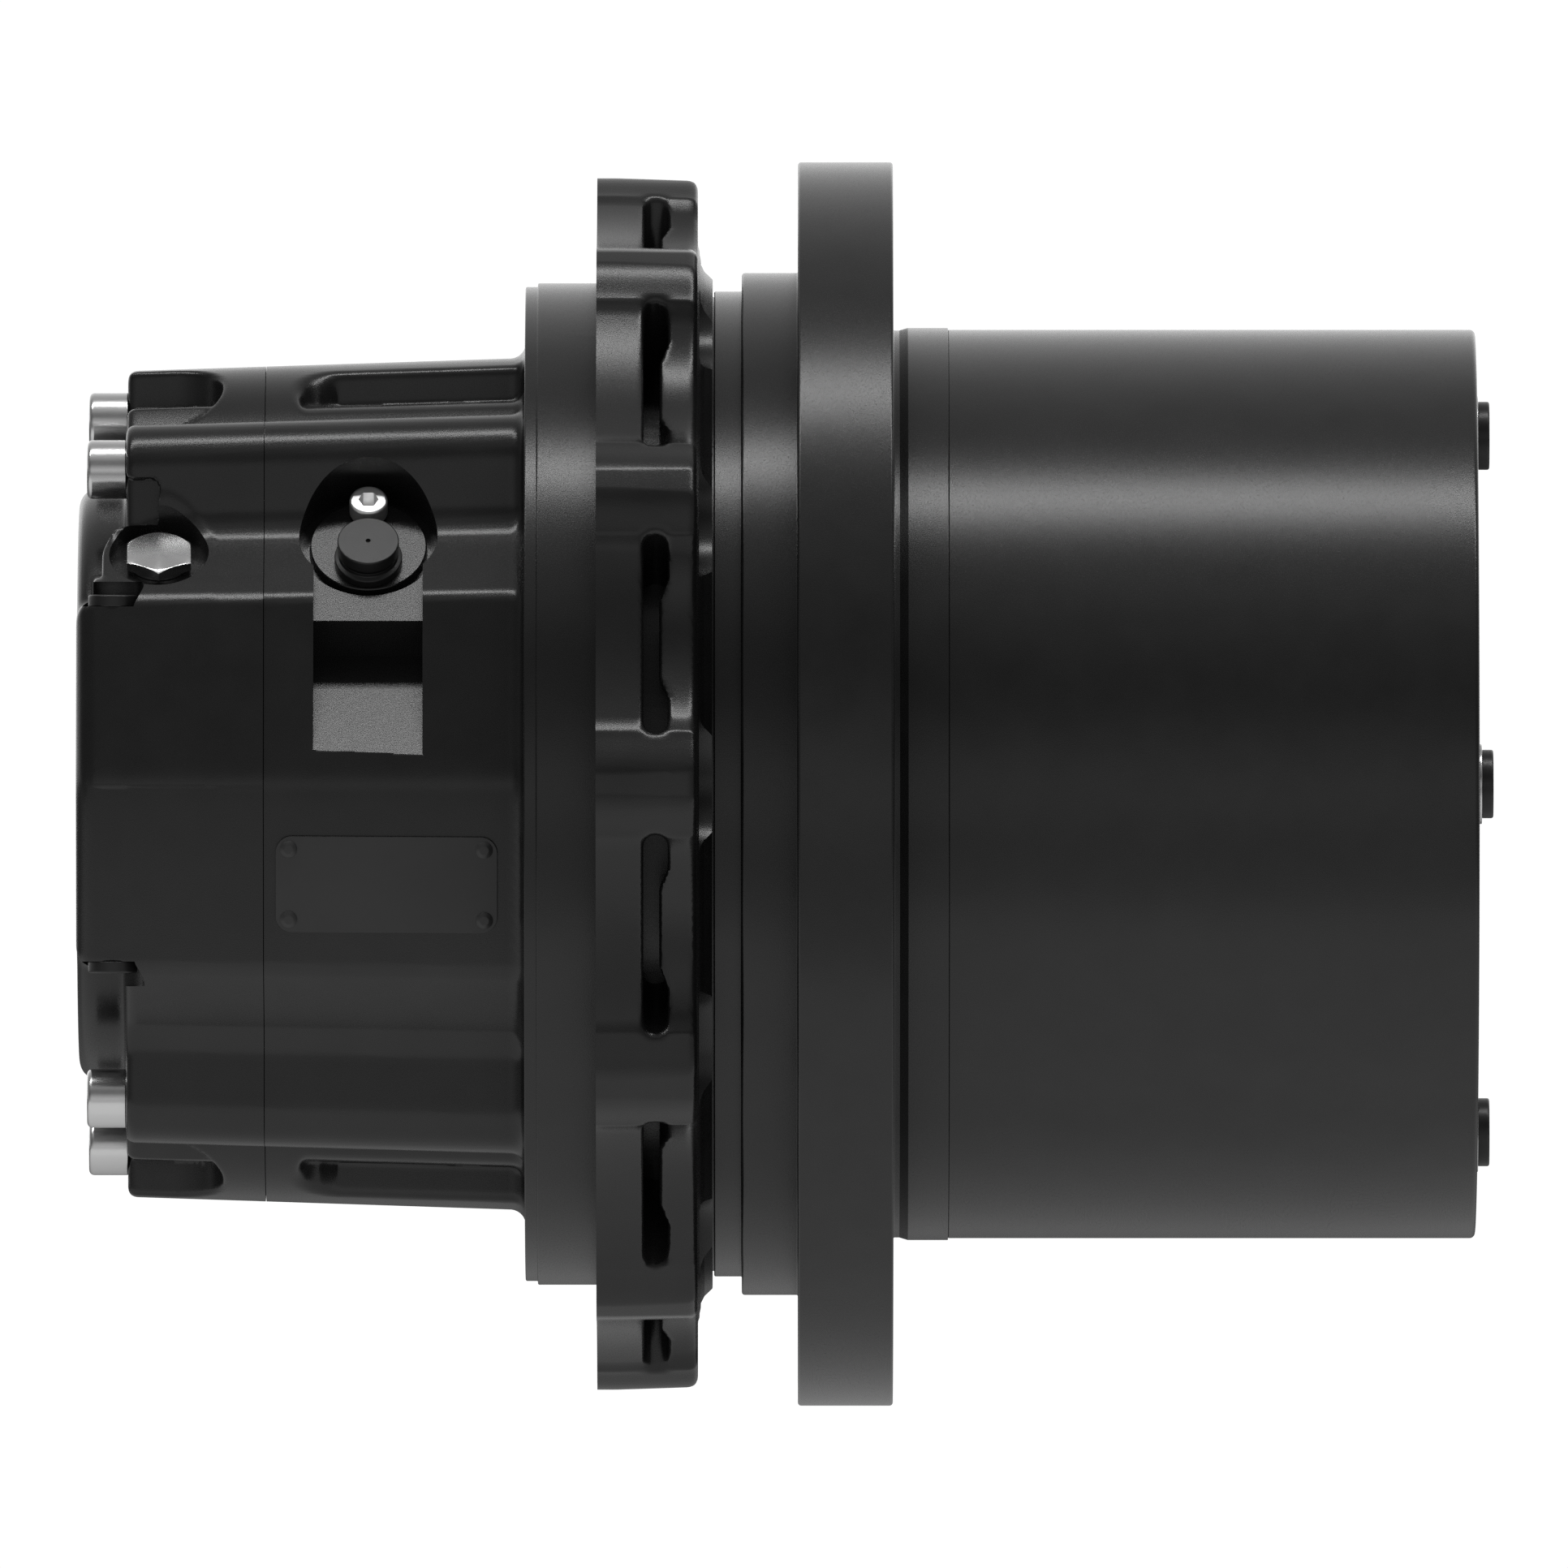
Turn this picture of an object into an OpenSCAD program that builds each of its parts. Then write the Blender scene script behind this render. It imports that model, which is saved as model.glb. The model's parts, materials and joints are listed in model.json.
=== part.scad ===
// Hydraulic track drive: an axial-piston motor with a two-stage planetary gearbox.
// The axis of rotation is +X, the motor end is at -X and the rotating drum at +X.
// The origin is on the axis, in the face of the lug flange that seats on the frame.
// +Z is up and -Y is the side that carries the nameplate and the sensor port.

/* [Frame side] */
// Diameter of the pilot that centres the drive in the frame
frame_pilot_d = 308.5; // [306:0.5:310]
// Bolt circle of the twelve frame lugs
lug_pcd = 347.2; // [346:0.2:350]
// Diameter of each frame lug
lug_d = 26; // [24:1:28]
// Clearance hole for the M12 frame bolts
frame_bolt_d = 13.5; // [13:0.5:14]

/* [Sprocket side] */
// Diameter of the sprocket flange
flange_d = 383; // [380:1:390]
// Diameter of the pilot that centres the sprocket
sprocket_pilot_d = 281; // [281:0.2:282]
// Bolt circle of the sprocket bolts
sprocket_pcd = 340; // [336:1:344]
// Number of sprocket bolts
sprocket_bolts = 16; // [12:4:20]
// Thread minor diameter of the M16 sprocket holes
sprocket_hole_d = 14; // [13.8:0.2:14.4]

/* [Drum] */
// Outside diameter of the rotating drum
drum_d = 279.8; // [279:0.2:280]
// Distance from the frame face to the outer face of the end cover
drum_end_x = 270.25; // [270:0.25:274]

/* [Gears] */
// Gear module of both stages
gear_m = 3.75; // [3.75:0.05:3.8]
// Thinning of each tooth flank for backlash
flank_gap = 0.09; // [0.06:0.01:0.12]

/* [Motor body] */
// Bolt circle of the end-cover screws
cover_pcd = 223; // [222:0.5:224]
// Radius of the lobe around each end-cover screw
lobe_r = 16.4; // [15:0.1:17]
// Elevation of the sensor port's axis above horizontal
port_tilt = 41; // [40:1:42]

/* [Hidden] */
$fn = 96;

black = [0.07, 0.07, 0.075];
steel = [0.55, 0.56, 0.58];
gear_steel = [0.42, 0.43, 0.45];
zinc = [0.75, 0.76, 0.78];
bronze = [0.65, 0.5, 0.28];
rubber = [0.05, 0.05, 0.05];
red_rubber = [0.35, 0.07, 0.05];

// Stations along the axis
cover_x0 = -159.5;
cover_step_x = -144.5;
joint_x = -102;
body_x1 = -22;
lug_x1 = 31.25;
neck_x1 = 35.5;
hub_x0 = 36;
flange_x0 = 61.75;
flange_x1 = 91;
pilot_x0 = 95.6;
drum_x0 = 108;
spindle_x1 = 103.5;
race_1_x0 = 52;
race_2_x0 = 80;
race_w = 24;
stage2_x0 = 120;
stage2_x1 = 168;
carrier1_x0 = 174;
stage1_x0 = 188;
stage1_x1 = 224;
carrier1_x1 = 236;
cover2_x0 = 252;

// Gear data
z_ring = 63;
z_sun1 = 15;
z_planet1 = 24;
z_sun2 = 21;
z_planet2 = 21;
pressure = 20;
addendum = 0.95 * gear_m;
dedendum = 1.25 * gear_m;
r_carrier1 = gear_m * (z_sun1 + z_planet1) / 2;
r_carrier2 = gear_m * (z_sun2 + z_planet2) / 2;
stage1_angles = [90, 210, 330];
stage2_angles = [0, 90, 180, 270];
flank_steps = 5;

// Radii
core_r = 104;
web_fill = 2.5;
cavity_r = 70;
spindle_r = 95;
race_in_r = 104;
race_out_r = 113;
race_seat_r = 122;
ball_pitch_r = 108.5;
ball_r = 8;
ball_count = 34;
spigot_r = 128;
shaft_r = 15;
pin1_r = 18;
pin2_r = 21;
needle_r = 3;
running = 0.04;

lug_n = 12;
head_clear_r = 23.5;
screw_angles = [60, 90, 120, 240, 270, 300];
plug_r = 107.25;
piston_n = 9;
piston_pitch_r = 35;

// Outline of the front pad above the axis, as [distance in front of the axis, height]
pad_half = [[0, 86], [66, 86], [76.7, 74.5], [94.5, 59.5], [97.5, 56], [108.2, 6]];
pad_outline = concat(pad_half, [for (i = [len(pad_half) - 1 : -1 : 0]) [pad_half[i][0], -pad_half[i][1]]]);

// Faces of the port slot, as distances from the axis along the port direction
slot_high = 104.6;
slot_low = 88.1;
port_y = -74.4;
port_z = 73.8;
port_x = -70;

// Seat, bore and screw of the sensor plug, measured up the port's face
seat_r = 17.8;
seat_depth = 1.2;
sensor_bore_y = -6.5;
sensor_bore_r = 7.5;
sensor_screw_y = 12.6;

// Seats of the gauge plug and of the two pad plugs
gauge_at = [-134.2, -77.9, 67.5];
gauge_tilt = 35;
pad_plug_x = -146.5;
pad_plug_y = -90;
pad_plug_z = 54.4;

// Nameplate on the lower front face, and its rivets
plate_at_x = -64.25;
plate_at_z = -30.75;
plate_l = 68;
plate_w = 30;
plate_t = 0.8;
plate_corner = 5;
rivet_inset = 4;
plate_tilt = atan((pad_half[5][0] - pad_half[4][0]) / (pad_half[4][1] - pad_half[5][1]));

// Brake pack and its springs
brake_x0 = -87;
brake_pitch = 5;
separator_t = 2.4;
friction_t = 2.3;
spring_circle_r = 65;
spring_count = 12;

// Plane where the two face-seal rings meet, and the lip that keeps dirt from them
seal_x = 36;
lip_x1 = 38.2;
lip_in_r = 146.2;
lip_out_r = 150;

// Holes for the bolts and dowels of the second carrier, and for the drum dowels
carrier_angles = [45, 135, 225, 315];
carrier_bolt_r = 56;
carrier_dowel_r = 71;
drum_dowel_r = 134;
drum_dowels_n = 8;

// ---- Helpers ----

// Extrudes a profile drawn in Y and Z from x0 to x1
module along_x(x0, x1) {
  translate([x0, 0, 0]) rotate([90, 0, 90]) linear_extrude(x1 - x0) children();
}

module rod(x0, x1, r) {
  along_x(x0, x1) circle(r = r);
}

module tube(x0, x1, r_out, r_in) {
  along_x(x0, x1) difference() {
    circle(r = r_out);
    circle(r = r_in);
  }
}

// Turns a profile drawn as [x, radius] about the axis
module turned(points) {
  rotate([0, 90, 0]) rotate_extrude($fn = 180) polygon([for (p = points) [p[1], p[0]]]);
}

// Copies children onto a circle about the axis, in the Y-Z plane
module ring_of(angles, r) {
  for (a = angles) translate([0, r * cos(a), r * sin(a)]) children();
}

function spread(n, first = 0) = [for (i = [0 : n - 1]) first + i * 360 / n];

// Socket-head screw lying along X, its bearing face at x0 and its head towards -X
module socket_screw(d, head_d, head_h, shank) {
  socket = 0.5 * head_h;
  difference() {
    union() {
      rod(-head_h, 0, head_d / 2);
      rod(-0.01, shank, d / 2);
    }
    along_x(-head_h - 1, -head_h + socket) circle(r = 0.46 * d, $fn = 6);
  }
}

// Moves children to the sensor port, with +Z out of the port and +Y up its face
module at_port(depth = slot_high) {
  lift = depth - slot_high;
  translate([port_x, port_y - lift * cos(port_tilt), port_z + lift * sin(port_tilt)])
    rotate([90 - port_tilt, 0, 0]) children();
}

// ---- Involute teeth ----

function inv(a) = tan(a) * 180 / PI - a;
function roll(r_base, r) = r <= r_base ? 0 : acos(r_base / r);

// Outline of a gear: one tooth is centred on angle 0; extra widens (+) or thins (-) each flank
function gear_outline(z, r_tip, r_root, extra) =
  let (
    r_pitch = gear_m * z / 2,
    r_base = r_pitch * cos(pressure),
    half = 90 / z + extra / r_pitch * 180 / PI + inv(pressure),
    r_start = max(r_root, r_base),
    radii = [for (i = [0 : flank_steps]) r_start + (r_tip - r_start) * i / flank_steps],
    low = r_root < r_base ? [r_root] : [],
    flank = [for (r = concat(low, radii)) [r, half - inv(roll(r_base, r))]]
  )
  [for (t = [0 : z - 1], side = [-1, 1], k = [0 : len(flank) - 1])
    let (
      f = flank[side < 0 ? k : len(flank) - 1 - k],
      a = t * 360 / z + side * f[1]
    )
    [f[0] * cos(a), f[0] * sin(a)]];

module outer_gear(z) {
  r = gear_m * z / 2;
  polygon(gear_outline(z, r + addendum, r - dedendum, -flank_gap));
}

module inner_gear_hole(z) {
  r = gear_m * z / 2;
  polygon(gear_outline(z, r + dedendum, r - addendum, flank_gap));
}

function planet_turn(a, z_planet) = a * (1 - z_ring / z_planet);
function sun_turn(a, z_sun, z_planet) = a * (1 + z_ring / z_sun) + 180 * (z_planet - 1) / z_sun;

sun1_turn = sun_turn(stage1_angles[0], z_sun1, z_planet1);
sun2_turn = sun_turn(stage2_angles[0], z_sun2, z_planet2);

// Planet gear at angle a on its carrier, bored for its needle rollers
module planet(x0, x1, z, r_carrier, a, bore_r) {
  translate([0, r_carrier * cos(a), r_carrier * sin(a)]) along_x(x0, x1) difference() {
    rotate(planet_turn(a, z)) outer_gear(z);
    circle(r = bore_r);
  }
}

// ---- Motor casings ----

// Motor body across the axis: a core, two pads and a lobe around each screw
module body_section(filled) {
  circle(r = filled ? core_r + web_fill : core_r);
  for (side = [0, 1]) mirror([side, 0]) rotate(180) polygon(pad_outline);
  for (a = screw_angles) rotate(a) {
    translate([cover_pcd / 2, 0]) circle(r = lobe_r);
    translate([core_r / 2, -lobe_r]) square([cover_pcd / 2 - core_r / 2, 2 * lobe_r]);
  }
  if (filled) intersection() {
    circle(r = cover_pcd / 2 + 7);
    square([cover_pcd / 2, 3 * cover_pcd], center = true);
  }
}

module screw_holes(x0, x1, r) {
  ring_of(screw_angles, cover_pcd / 2) rod(x0, x1, r);
}

// Slot and recess for the sensor port, as solids to cut away
module port_cuts() {
  slot_w = 33.5;
  step_y = -31.5;
  step_z = slot_low - slot_high;
  recess_r = 21.25;
  recess_z = -4;
  at_port() {
    translate([-slot_w / 2, 0, 0]) rotate([90, 0, 90]) linear_extrude(slot_w)
      polygon([[step_y - 60, step_z], [step_y, step_z], [step_y, 0], [2, 0], [2, 55], [step_y - 60, 55]]);
    difference() {
      translate([0, 0, recess_z]) cylinder(r = recess_r, h = 60);
      translate([0, 0, recess_z - 1]) cylinder(r = seat_r, h = 1 - recess_z - seat_depth);
    }
  }
}

module motor_housing() color(black) {
  difference() {
    union() {
      along_x(joint_x, -94) body_section(true);
      along_x(-94, body_x1) body_section(false);
      turned([[-30, 60], [-30, 131], [-27, 132.2], [-23.5, 135], [body_x1, 139], [body_x1, 153.1],
        [-18.25, 153.1], [-18.25, frame_pilot_d / 2], [1, frame_pilot_d / 2], [1, 60]]);
      lug_flange();
      turned([[lug_x1 - 1, 60], [lug_x1 - 1, 162.6], [33, 158.6], [neck_x1, 156], [neck_x1, 60]]);
      tube(neck_x1 - 1, race_1_x0, 103, 40);
      tube(neck_x1 - 1, lip_x1, lip_out_r, lip_in_r);
      tube(race_1_x0 - 1, spindle_x1, spindle_r, 40);
    }
    // Motor cavity, brake seat, shaft-bearing seat, shaft seal seat and the bore to the gears
    rod(joint_x - 1, -6, cavity_r);
    rod(joint_x - 1, -88, 75);
    rod(-7, 16, 31);
    rod(15, 26, 26);
    rod(25, 62, 20);
    rod(61, spindle_x1 + 1, 46);
    // Seat of the fixed face-seal ring
    tube(20.8, neck_x1 + 1, 134, 108.5);
    screw_holes(joint_x - 1, -74, 6);
    // Clearance for the heads of the frame bolts
    ring_of(spread(lug_n), lug_pcd / 2) rod(lug_x1 + 0.25, neck_x1 + 1, head_clear_r);
    port_cuts();
    at_port(slot_high - 30) {
      translate([0, sensor_bore_y, 0]) cylinder(r = sensor_bore_r, h = 40);
      translate([0, sensor_screw_y, 12]) cylinder(r = 3, h = 30);
    }
    ring_of(carrier_angles, carrier_bolt_r) rod(70, spindle_x1 + 1, 7);
    ring_of(carrier_angles, carrier_dowel_r) rod(90, spindle_x1 + 1, 6);
    nameplate_rivet_holes();
  }
}

// Lug flange: twelve round lugs, scalloped webs and open pockets for the bolt heads
module lug_flange() {
  lug_ring_r = lug_pcd / 2;
  valley_r = 174.5;
  scallop_r = 102;
  scallop_at = valley_r + scallop_r;
  end_gap = 22.5;
  difference() {
    union() {
      rod(0, lug_x1 - 1.25, 183);
      rod(0, lug_x1, 163.5);
      ring_of(spread(lug_n), lug_ring_r) rod(0, lug_x1 - 1.25, lug_d / 2);
      ring_of(spread(lug_n), lug_ring_r) rod(0, lug_x1, lug_d / 2 - 1.6);
    }
    // Shallow scallops between the lugs
    ring_of(spread(lug_n, 15), scallop_at) rod(-1, 40, scallop_r);
    ring_of(spread(lug_n, 15), scallop_at - 4.5) rod(19, 40, scallop_r);
    // Radial pockets between the front plate and the rim
    for (a = spread(lug_n, 15)) rotate([a, 0, 0]) translate([14.6, 148, -end_gap])
      cube([5.6, 60, 2 * end_gap]);
    ring_of(spread(lug_n), lug_ring_r) rod(-1, 40, frame_bolt_d / 2);
    rod(-1, 40, 60);
  }
}

module motor_end_cover() color(black) {
  difference() {
    union() {
      along_x(-115, joint_x) body_section(true);
      along_x(cover_step_x, -115) body_section(false);
      rod(cover_x0 + 4, cover_step_x + 1, 91);
      rod(cover_x0, cover_step_x + 1, 87);
      along_x(cover_x0, cover_step_x + 1) intersection() {
        body_section(false);
        square([300, 112], center = true);
      }
    }
    screw_holes(cover_x0 - 1, joint_x + 1, 6.5);
    // Seats for the rear shaft bearing and the brake springs
    rod(-128, joint_x + 1, 26);
    ring_of(spread(spring_count, 15), spring_circle_r) rod(-124, joint_x + 1, 5);
    // Ports in the end face: two main ports, brake release and case drain
    for (z = [-1, 1]) translate([0, 0, z * 42]) rod(cover_x0 - 1, cover_x0 + 24, 15.1);
    translate([0, 46, 0]) rod(cover_x0 - 1, cover_x0 + 16, 5.8);
    translate([0, -46, 0]) rod(cover_x0 - 1, cover_x0 + 18, 9.3);
    at_gauge() {
      cylinder(r = 15.3, h = 60);
      translate([0, 0, -12]) cylinder(r = 5.8, h = 20);
    }
    pad_plug_seats();
    // Groove of the joint seal
    tube(joint_x - 2.2, joint_x + 1, 84.4, 80);
  }
}

module end_cover_seal() color(rubber) {
  rotate([0, 90, 0]) translate([0, 0, joint_x - 1.1]) rotate_extrude($fn = 120)
    translate([82.2, 0]) circle(r = 1.08, $fn = 24);
}

module end_cover_screws() color(zinc) {
  ring_of(screw_angles, cover_pcd / 2) translate([cover_step_x, 0, 0]) socket_screw(11.96, 18, 12, 68);
}

// ---- Plugs on the motor ----

// Moves children to the gauge port's seat, with +Z out of the port
module at_gauge() {
  translate(gauge_at) rotate([gauge_tilt, 0, 0]) children();
}

module gauge_plug() color(zinc) at_gauge() {
  difference() {
    union() {
      translate([0, 0, 1.5]) rotate(30) cylinder(d = 19.5 / cos(30), h = 5.5, $fn = 6);
      translate([0, 0, -10]) cylinder(r = 5.78, h = 12);
    }
    translate([0, 0, 5.8]) cylinder(r = 6, h = 2);
  }
}

module gauge_plug_washer() color(bronze) at_gauge() {
  difference() {
    cylinder(r = 9.2, h = 1.5);
    translate([0, 0, -1]) cylinder(r = 5.8, h = 4);
  }
}

module at_pad_plugs() {
  for (s = [0, 1]) mirror([0, 0, s]) translate([pad_plug_x, pad_plug_y, pad_plug_z]) children();
}

module pad_plug_seats() {
  at_pad_plugs() {
    cylinder(r = 9.8, h = 60);
    translate([0, 0, -9]) cylinder(r = 5, h = 10);
  }
}

module pad_plugs() color(black) at_pad_plugs() {
  difference() {
    union() {
      cylinder(r = 7.5, h = 3.6);
      translate([0, 0, -8]) cylinder(r = 4.98, h = 8.5);
    }
    translate([0, 0, 1.4]) cylinder(r = 3, h = 3, $fn = 6);
  }
}

module sensor_plug() color(black) at_port(slot_high - seat_depth) translate([0, sensor_bore_y, 0]) {
  difference() {
    union() {
      translate([0, 0, -16]) cylinder(r = sensor_bore_r - 0.02, h = 17);
      cylinder(r = 10.4, h = 3);
      cylinder(r = 9, h = 8);
      translate([0, 0, 7]) cylinder(r = 9.45, h = 3);
    }
    translate([0, 0, 9]) cylinder(r = 0.7, h = 2);
    translate([0, 0, -9]) difference() {
      cylinder(r = 9, h = 2.6);
      cylinder(r = 5.4, h = 2.6);
    }
  }
}

module sensor_plug_ring() color(rubber) at_port(slot_high - seat_depth)
  translate([0, sensor_bore_y, -7.7]) rotate_extrude() translate([6.45, 0]) circle(r = 1, $fn = 24);

module sensor_plug_screw() color(zinc) at_port(slot_high - seat_depth) translate([0, sensor_screw_y, 0]) {
  difference() {
    union() {
      cylinder(r = 5, h = 6);
      translate([0, 0, -12]) cylinder(r = 2.98, h = 13);
    }
    translate([0, 0, 3]) cylinder(r = 2.88, h = 4, $fn = 6);
  }
}

// ---- Nameplate ----

// Moves children to the middle of the nameplate, with +Z out of the lower front face
module at_nameplate() {
  d = pad_half[5][0] - (-plate_at_z - pad_half[5][1]) * tan(plate_tilt);
  translate([plate_at_x, -d, plate_at_z]) rotate([90 + plate_tilt, 0, 0]) children();
}

module at_rivets() {
  at_nameplate() for (x = [-1, 1], y = [-1, 1])
    translate([x * (plate_l / 2 - rivet_inset), y * (plate_w / 2 - rivet_inset), 0]) children();
}

module nameplate_rivet_holes() {
  at_rivets() translate([0, 0, -6]) cylinder(r = 1.5, h = 8);
}

module nameplate() color(black) difference() {
  at_nameplate() linear_extrude(plate_t) union() {
    square([plate_l - 2 * plate_corner, plate_w], center = true);
    square([plate_l, plate_w - 2 * plate_corner], center = true);
    for (x = [-1, 1], y = [-1, 1])
      translate([x * (plate_l / 2 - plate_corner), y * (plate_w / 2 - plate_corner)])
        circle(r = plate_corner);
  }
  nameplate_rivet_holes();
}

module nameplate_rivets() color(black) at_rivets() {
  translate([0, 0, -5]) cylinder(r = 1.49, h = 6.5);
  translate([0, 0, plate_t]) cylinder(r = 2.6, h = 0.9);
}

// ---- Motor rotating group, shown at zero stroke ----

module valve_plate() color(bronze) difference() {
  tube(joint_x, joint_x + 3.4, 46, 17);
  for (s = [0, 1]) mirror([0, s, 0]) intersection() {
    tube(joint_x - 1, joint_x + 4, 39, 31);
    translate([joint_x - 1, 8, -40]) cube([6, 60, 80]);
  }
}

module swash_plate() color(gear_steel) difference() {
  union() {
    rod(-24, -14, 60);
    for (s = [0, 1]) mirror([0, s, 0]) translate([-14.5, 30, -22]) cube([8.4, 16, 44]);
  }
  rod(-25, -5, 20);
  translate([-16, -18, -70]) cube([12, 36, 140]);
}

module ball_bearing(x0, w, r_in, r_out, balls) {
  mid = (r_in + r_out) / 2;
  r_ball = (r_out - r_in) * 0.29;
  land = (r_out - r_in) * 0.3;
  for (band = [[r_in, r_in + land], [r_out - land, r_out]]) difference() {
    tube(x0, x0 + w, band[1], band[0]);
    rotate([0, 90, 0]) translate([0, 0, x0 + w / 2]) rotate_extrude() translate([mid, 0])
      circle(r = r_ball + 0.12, $fn = 32);
  }
  ring_of(spread(balls), mid) translate([x0 + w / 2, 0, 0]) sphere(r = r_ball, $fn = 32);
}

module shaft_rear_bearing() color(steel) ball_bearing(-128, 15, 12, 26, 9);

module shaft_front_bearing() color(steel) ball_bearing(-6, 17, 17, 31, 11);

module shaft_seal() color(red_rubber) tube(17, 25, 26, 16.05);

module brake_springs() color(steel) ring_of(spread(spring_count, 15), spring_circle_r) difference() {
  rod(-123.9, -102.5, 4.6);
  rod(-124.5, -102, 3);
  for (i = [0 : 5]) tube(-122 + i * 3.2, -120.4 + i * 3.2, 6, 4.1);
}

module brake_piston() color(steel) difference() {
  union() {
    tube(-102 + 0.8, -92, 74.95, 54);
    tube(-93, -87.05, 68, 54);
  }
  tube(-98.5, -96, 76, 72);
}

module brake_separators() color(gear_steel)
  for (i = [0 : 4]) tube(brake_x0 + i * brake_pitch, brake_x0 + i * brake_pitch + separator_t, 69.8, 54);

module brake_friction_discs() color(bronze)
  for (x = [brake_x0 + separator_t + 0.15 : brake_pitch : brake_x0 + 3.9 * brake_pitch])
    along_x(x, x + friction_t) difference() {
      circle(r = 66);
      circle(r = 50.2);
      for (a = spread(12)) rotate(a) translate([49, -2.55]) square([3.6, 5.1]);
    }

module cylinder_block() color(gear_steel) difference() {
  union() {
    rod(-98.5, -44, 50);
    along_x(-88, -62) for (a = spread(12)) rotate(a) translate([49, -2.5]) square([3.4, 5]);
  }
  rod(-99, -43, shaft_r + running);
  rod(-90, -60, 22);
  ring_of(spread(piston_n), piston_pitch_r) rod(-86, -43, 8.5);
  ring_of(spread(piston_n), piston_pitch_r) rod(-99, -85, 4);
}

module block_spring() color(steel) difference() {
  tube(-89.8, -60.2, 21.8, 17.2);
  for (i = [0 : 5]) tube(-87.5 + i * 4.6, -85.3 + i * 4.6, 23, 18.4);
}

module pistons() color(steel) ring_of(spread(piston_n), piston_pitch_r) difference() {
  union() {
    rod(-80, -38, 8.46);
    rod(-39, -31, 4.2);
    translate([-31, 0, 0]) sphere(r = 6, $fn = 48);
  }
  rod(-81, -48, 5);
}

module piston_slippers() color(bronze) ring_of(spread(piston_n), piston_pitch_r)
  rotate([0, 90, 0]) rotate_extrude() difference() {
    union() {
      translate([0, -26.45]) square([10.6, 2.4]);
      translate([0, -33]) square([8, 7]);
    }
    translate([0, -31]) circle(r = 6.06);
  }

module slipper_retainer() color(gear_steel) difference() {
  tube(-29.5, -26.6, 48, 18);
  ring_of(spread(piston_n), piston_pitch_r) rod(-31, -25, 8.6);
}

module motor_shaft() color(steel) {
  rod(-127.6, -112.5, 11.98);
  rod(-113, -45, shaft_r);
  rod(-46, -7, 14.5);
  rod(-7.5, 12, 16.98);
  rod(11, 58, 16);
}

module shaft_coupling() color(gear_steel) difference() {
  rod(40, 84, 19.6);
  rod(39, 62, 16.02);
  rod(61, 85, 14.52);
}

// ---- Gear train ----

module sun_gear_1() color(gear_steel) {
  along_x(stage1_x0, stage1_x1) rotate(sun1_turn) outer_gear(z_sun1);
  rod(64, stage1_x0 + 1, 14.5);
  rod(stage1_x1 - 1, 233.5, 14.5);
}

module planet_gear_1a() color(gear_steel) stage_1_planet(0);
module planet_gear_1b() color(gear_steel) stage_1_planet(1);
module planet_gear_1c() color(gear_steel) stage_1_planet(2);

module stage_1_planet(i) {
  a = stage1_angles[i];
  planet(stage1_x0 + 0.5, stage1_x1 - 0.5, z_planet1, r_carrier1, a, pin1_r + 2 * needle_r);
  needles(stage1_x0 + 1, stage1_x1 - 1, r_carrier1, a, pin1_r, 18);
}

module needles(x0, x1, r_carrier, a, r_pin, n) {
  gap = 0.03;
  ring_of([a], r_carrier) ring_of(spread(n), r_pin + needle_r) rod(x0, x1, needle_r - gap, $fn = 24);
}

module planet_pins_1() color(steel) ring_of(stage1_angles, r_carrier1) difference() {
  rod(carrier1_x0, carrier1_x1, pin1_r);
  rod(carrier1_x0 - 1, carrier1_x0 + 30, 5);
}

module carrier_1() color(gear_steel) difference() {
  union() {
    rod(carrier1_x0, stage1_x0 - 2, 98);
    rod(stage1_x1 + 2, carrier1_x1, 98);
    ring_of([for (a = stage1_angles) a + 60], 79) rod(carrier1_x0 + 1, carrier1_x1 - 1, 13);
  }
  ring_of(stage1_angles, r_carrier1) rod(carrier1_x0 - 1, carrier1_x1 + 1, pin1_r);
  along_x(carrier1_x0 - 1, stage1_x0) rotate(sun2_turn) inner_gear_hole(z_sun2);
  rod(stage1_x1, carrier1_x1 + 1, 36);
}

module sun_gear_2() color(gear_steel) difference() {
  along_x(stage2_x0 - 0.5, stage1_x0 - 2.5) rotate(sun2_turn) outer_gear(z_sun2);
  rod(stage2_x0 - 2, stage1_x0, 18);
}

module planet_gear_2a() color(gear_steel) stage_2_planet(0);
module planet_gear_2b() color(gear_steel) stage_2_planet(1);
module planet_gear_2c() color(gear_steel) stage_2_planet(2);
module planet_gear_2d() color(gear_steel) stage_2_planet(3);

module stage_2_planet(i) {
  a = stage2_angles[i];
  planet(stage2_x0, stage2_x1, z_planet2, r_carrier2, a, pin2_r + 2 * needle_r);
  needles(stage2_x0 + 1, stage2_x1 - 1, r_carrier2, a, pin2_r, 22);
}

module planet_pins_2() color(steel) ring_of(stage2_angles, r_carrier2) difference() {
  rod(spindle_x1 + 1, 173, pin2_r);
  rod(150, 174, 6);
}

module carrier_2() color(gear_steel) difference() {
  union() {
    rod(spindle_x1 + 0.5, 118, 103.4);
    rod(169.5, 173, 105);
    ring_of(carrier_angles, 90) rod(117, 171, 11);
  }
  rod(spindle_x1 - 1, 119, 45);
  rod(169, 174, 46);
  ring_of(stage2_angles, r_carrier2) rod(spindle_x1 - 1, 174, pin2_r);
  ring_of(carrier_angles, carrier_bolt_r) rod(spindle_x1 - 1, 119, 7.5);
  ring_of(carrier_angles, carrier_dowel_r) rod(spindle_x1 - 1, 114.5, 6);
}

module carrier_2_bolts() color(steel) ring_of(carrier_angles, carrier_bolt_r) translate([118, 0, 0])
  mirror([1, 0, 0]) socket_screw(13.96, 21, 13, 46);

module carrier_2_dowels() color(steel) ring_of(carrier_angles, carrier_dowel_r) rod(91, 114, 6);

// ---- Main bearings ----

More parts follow.
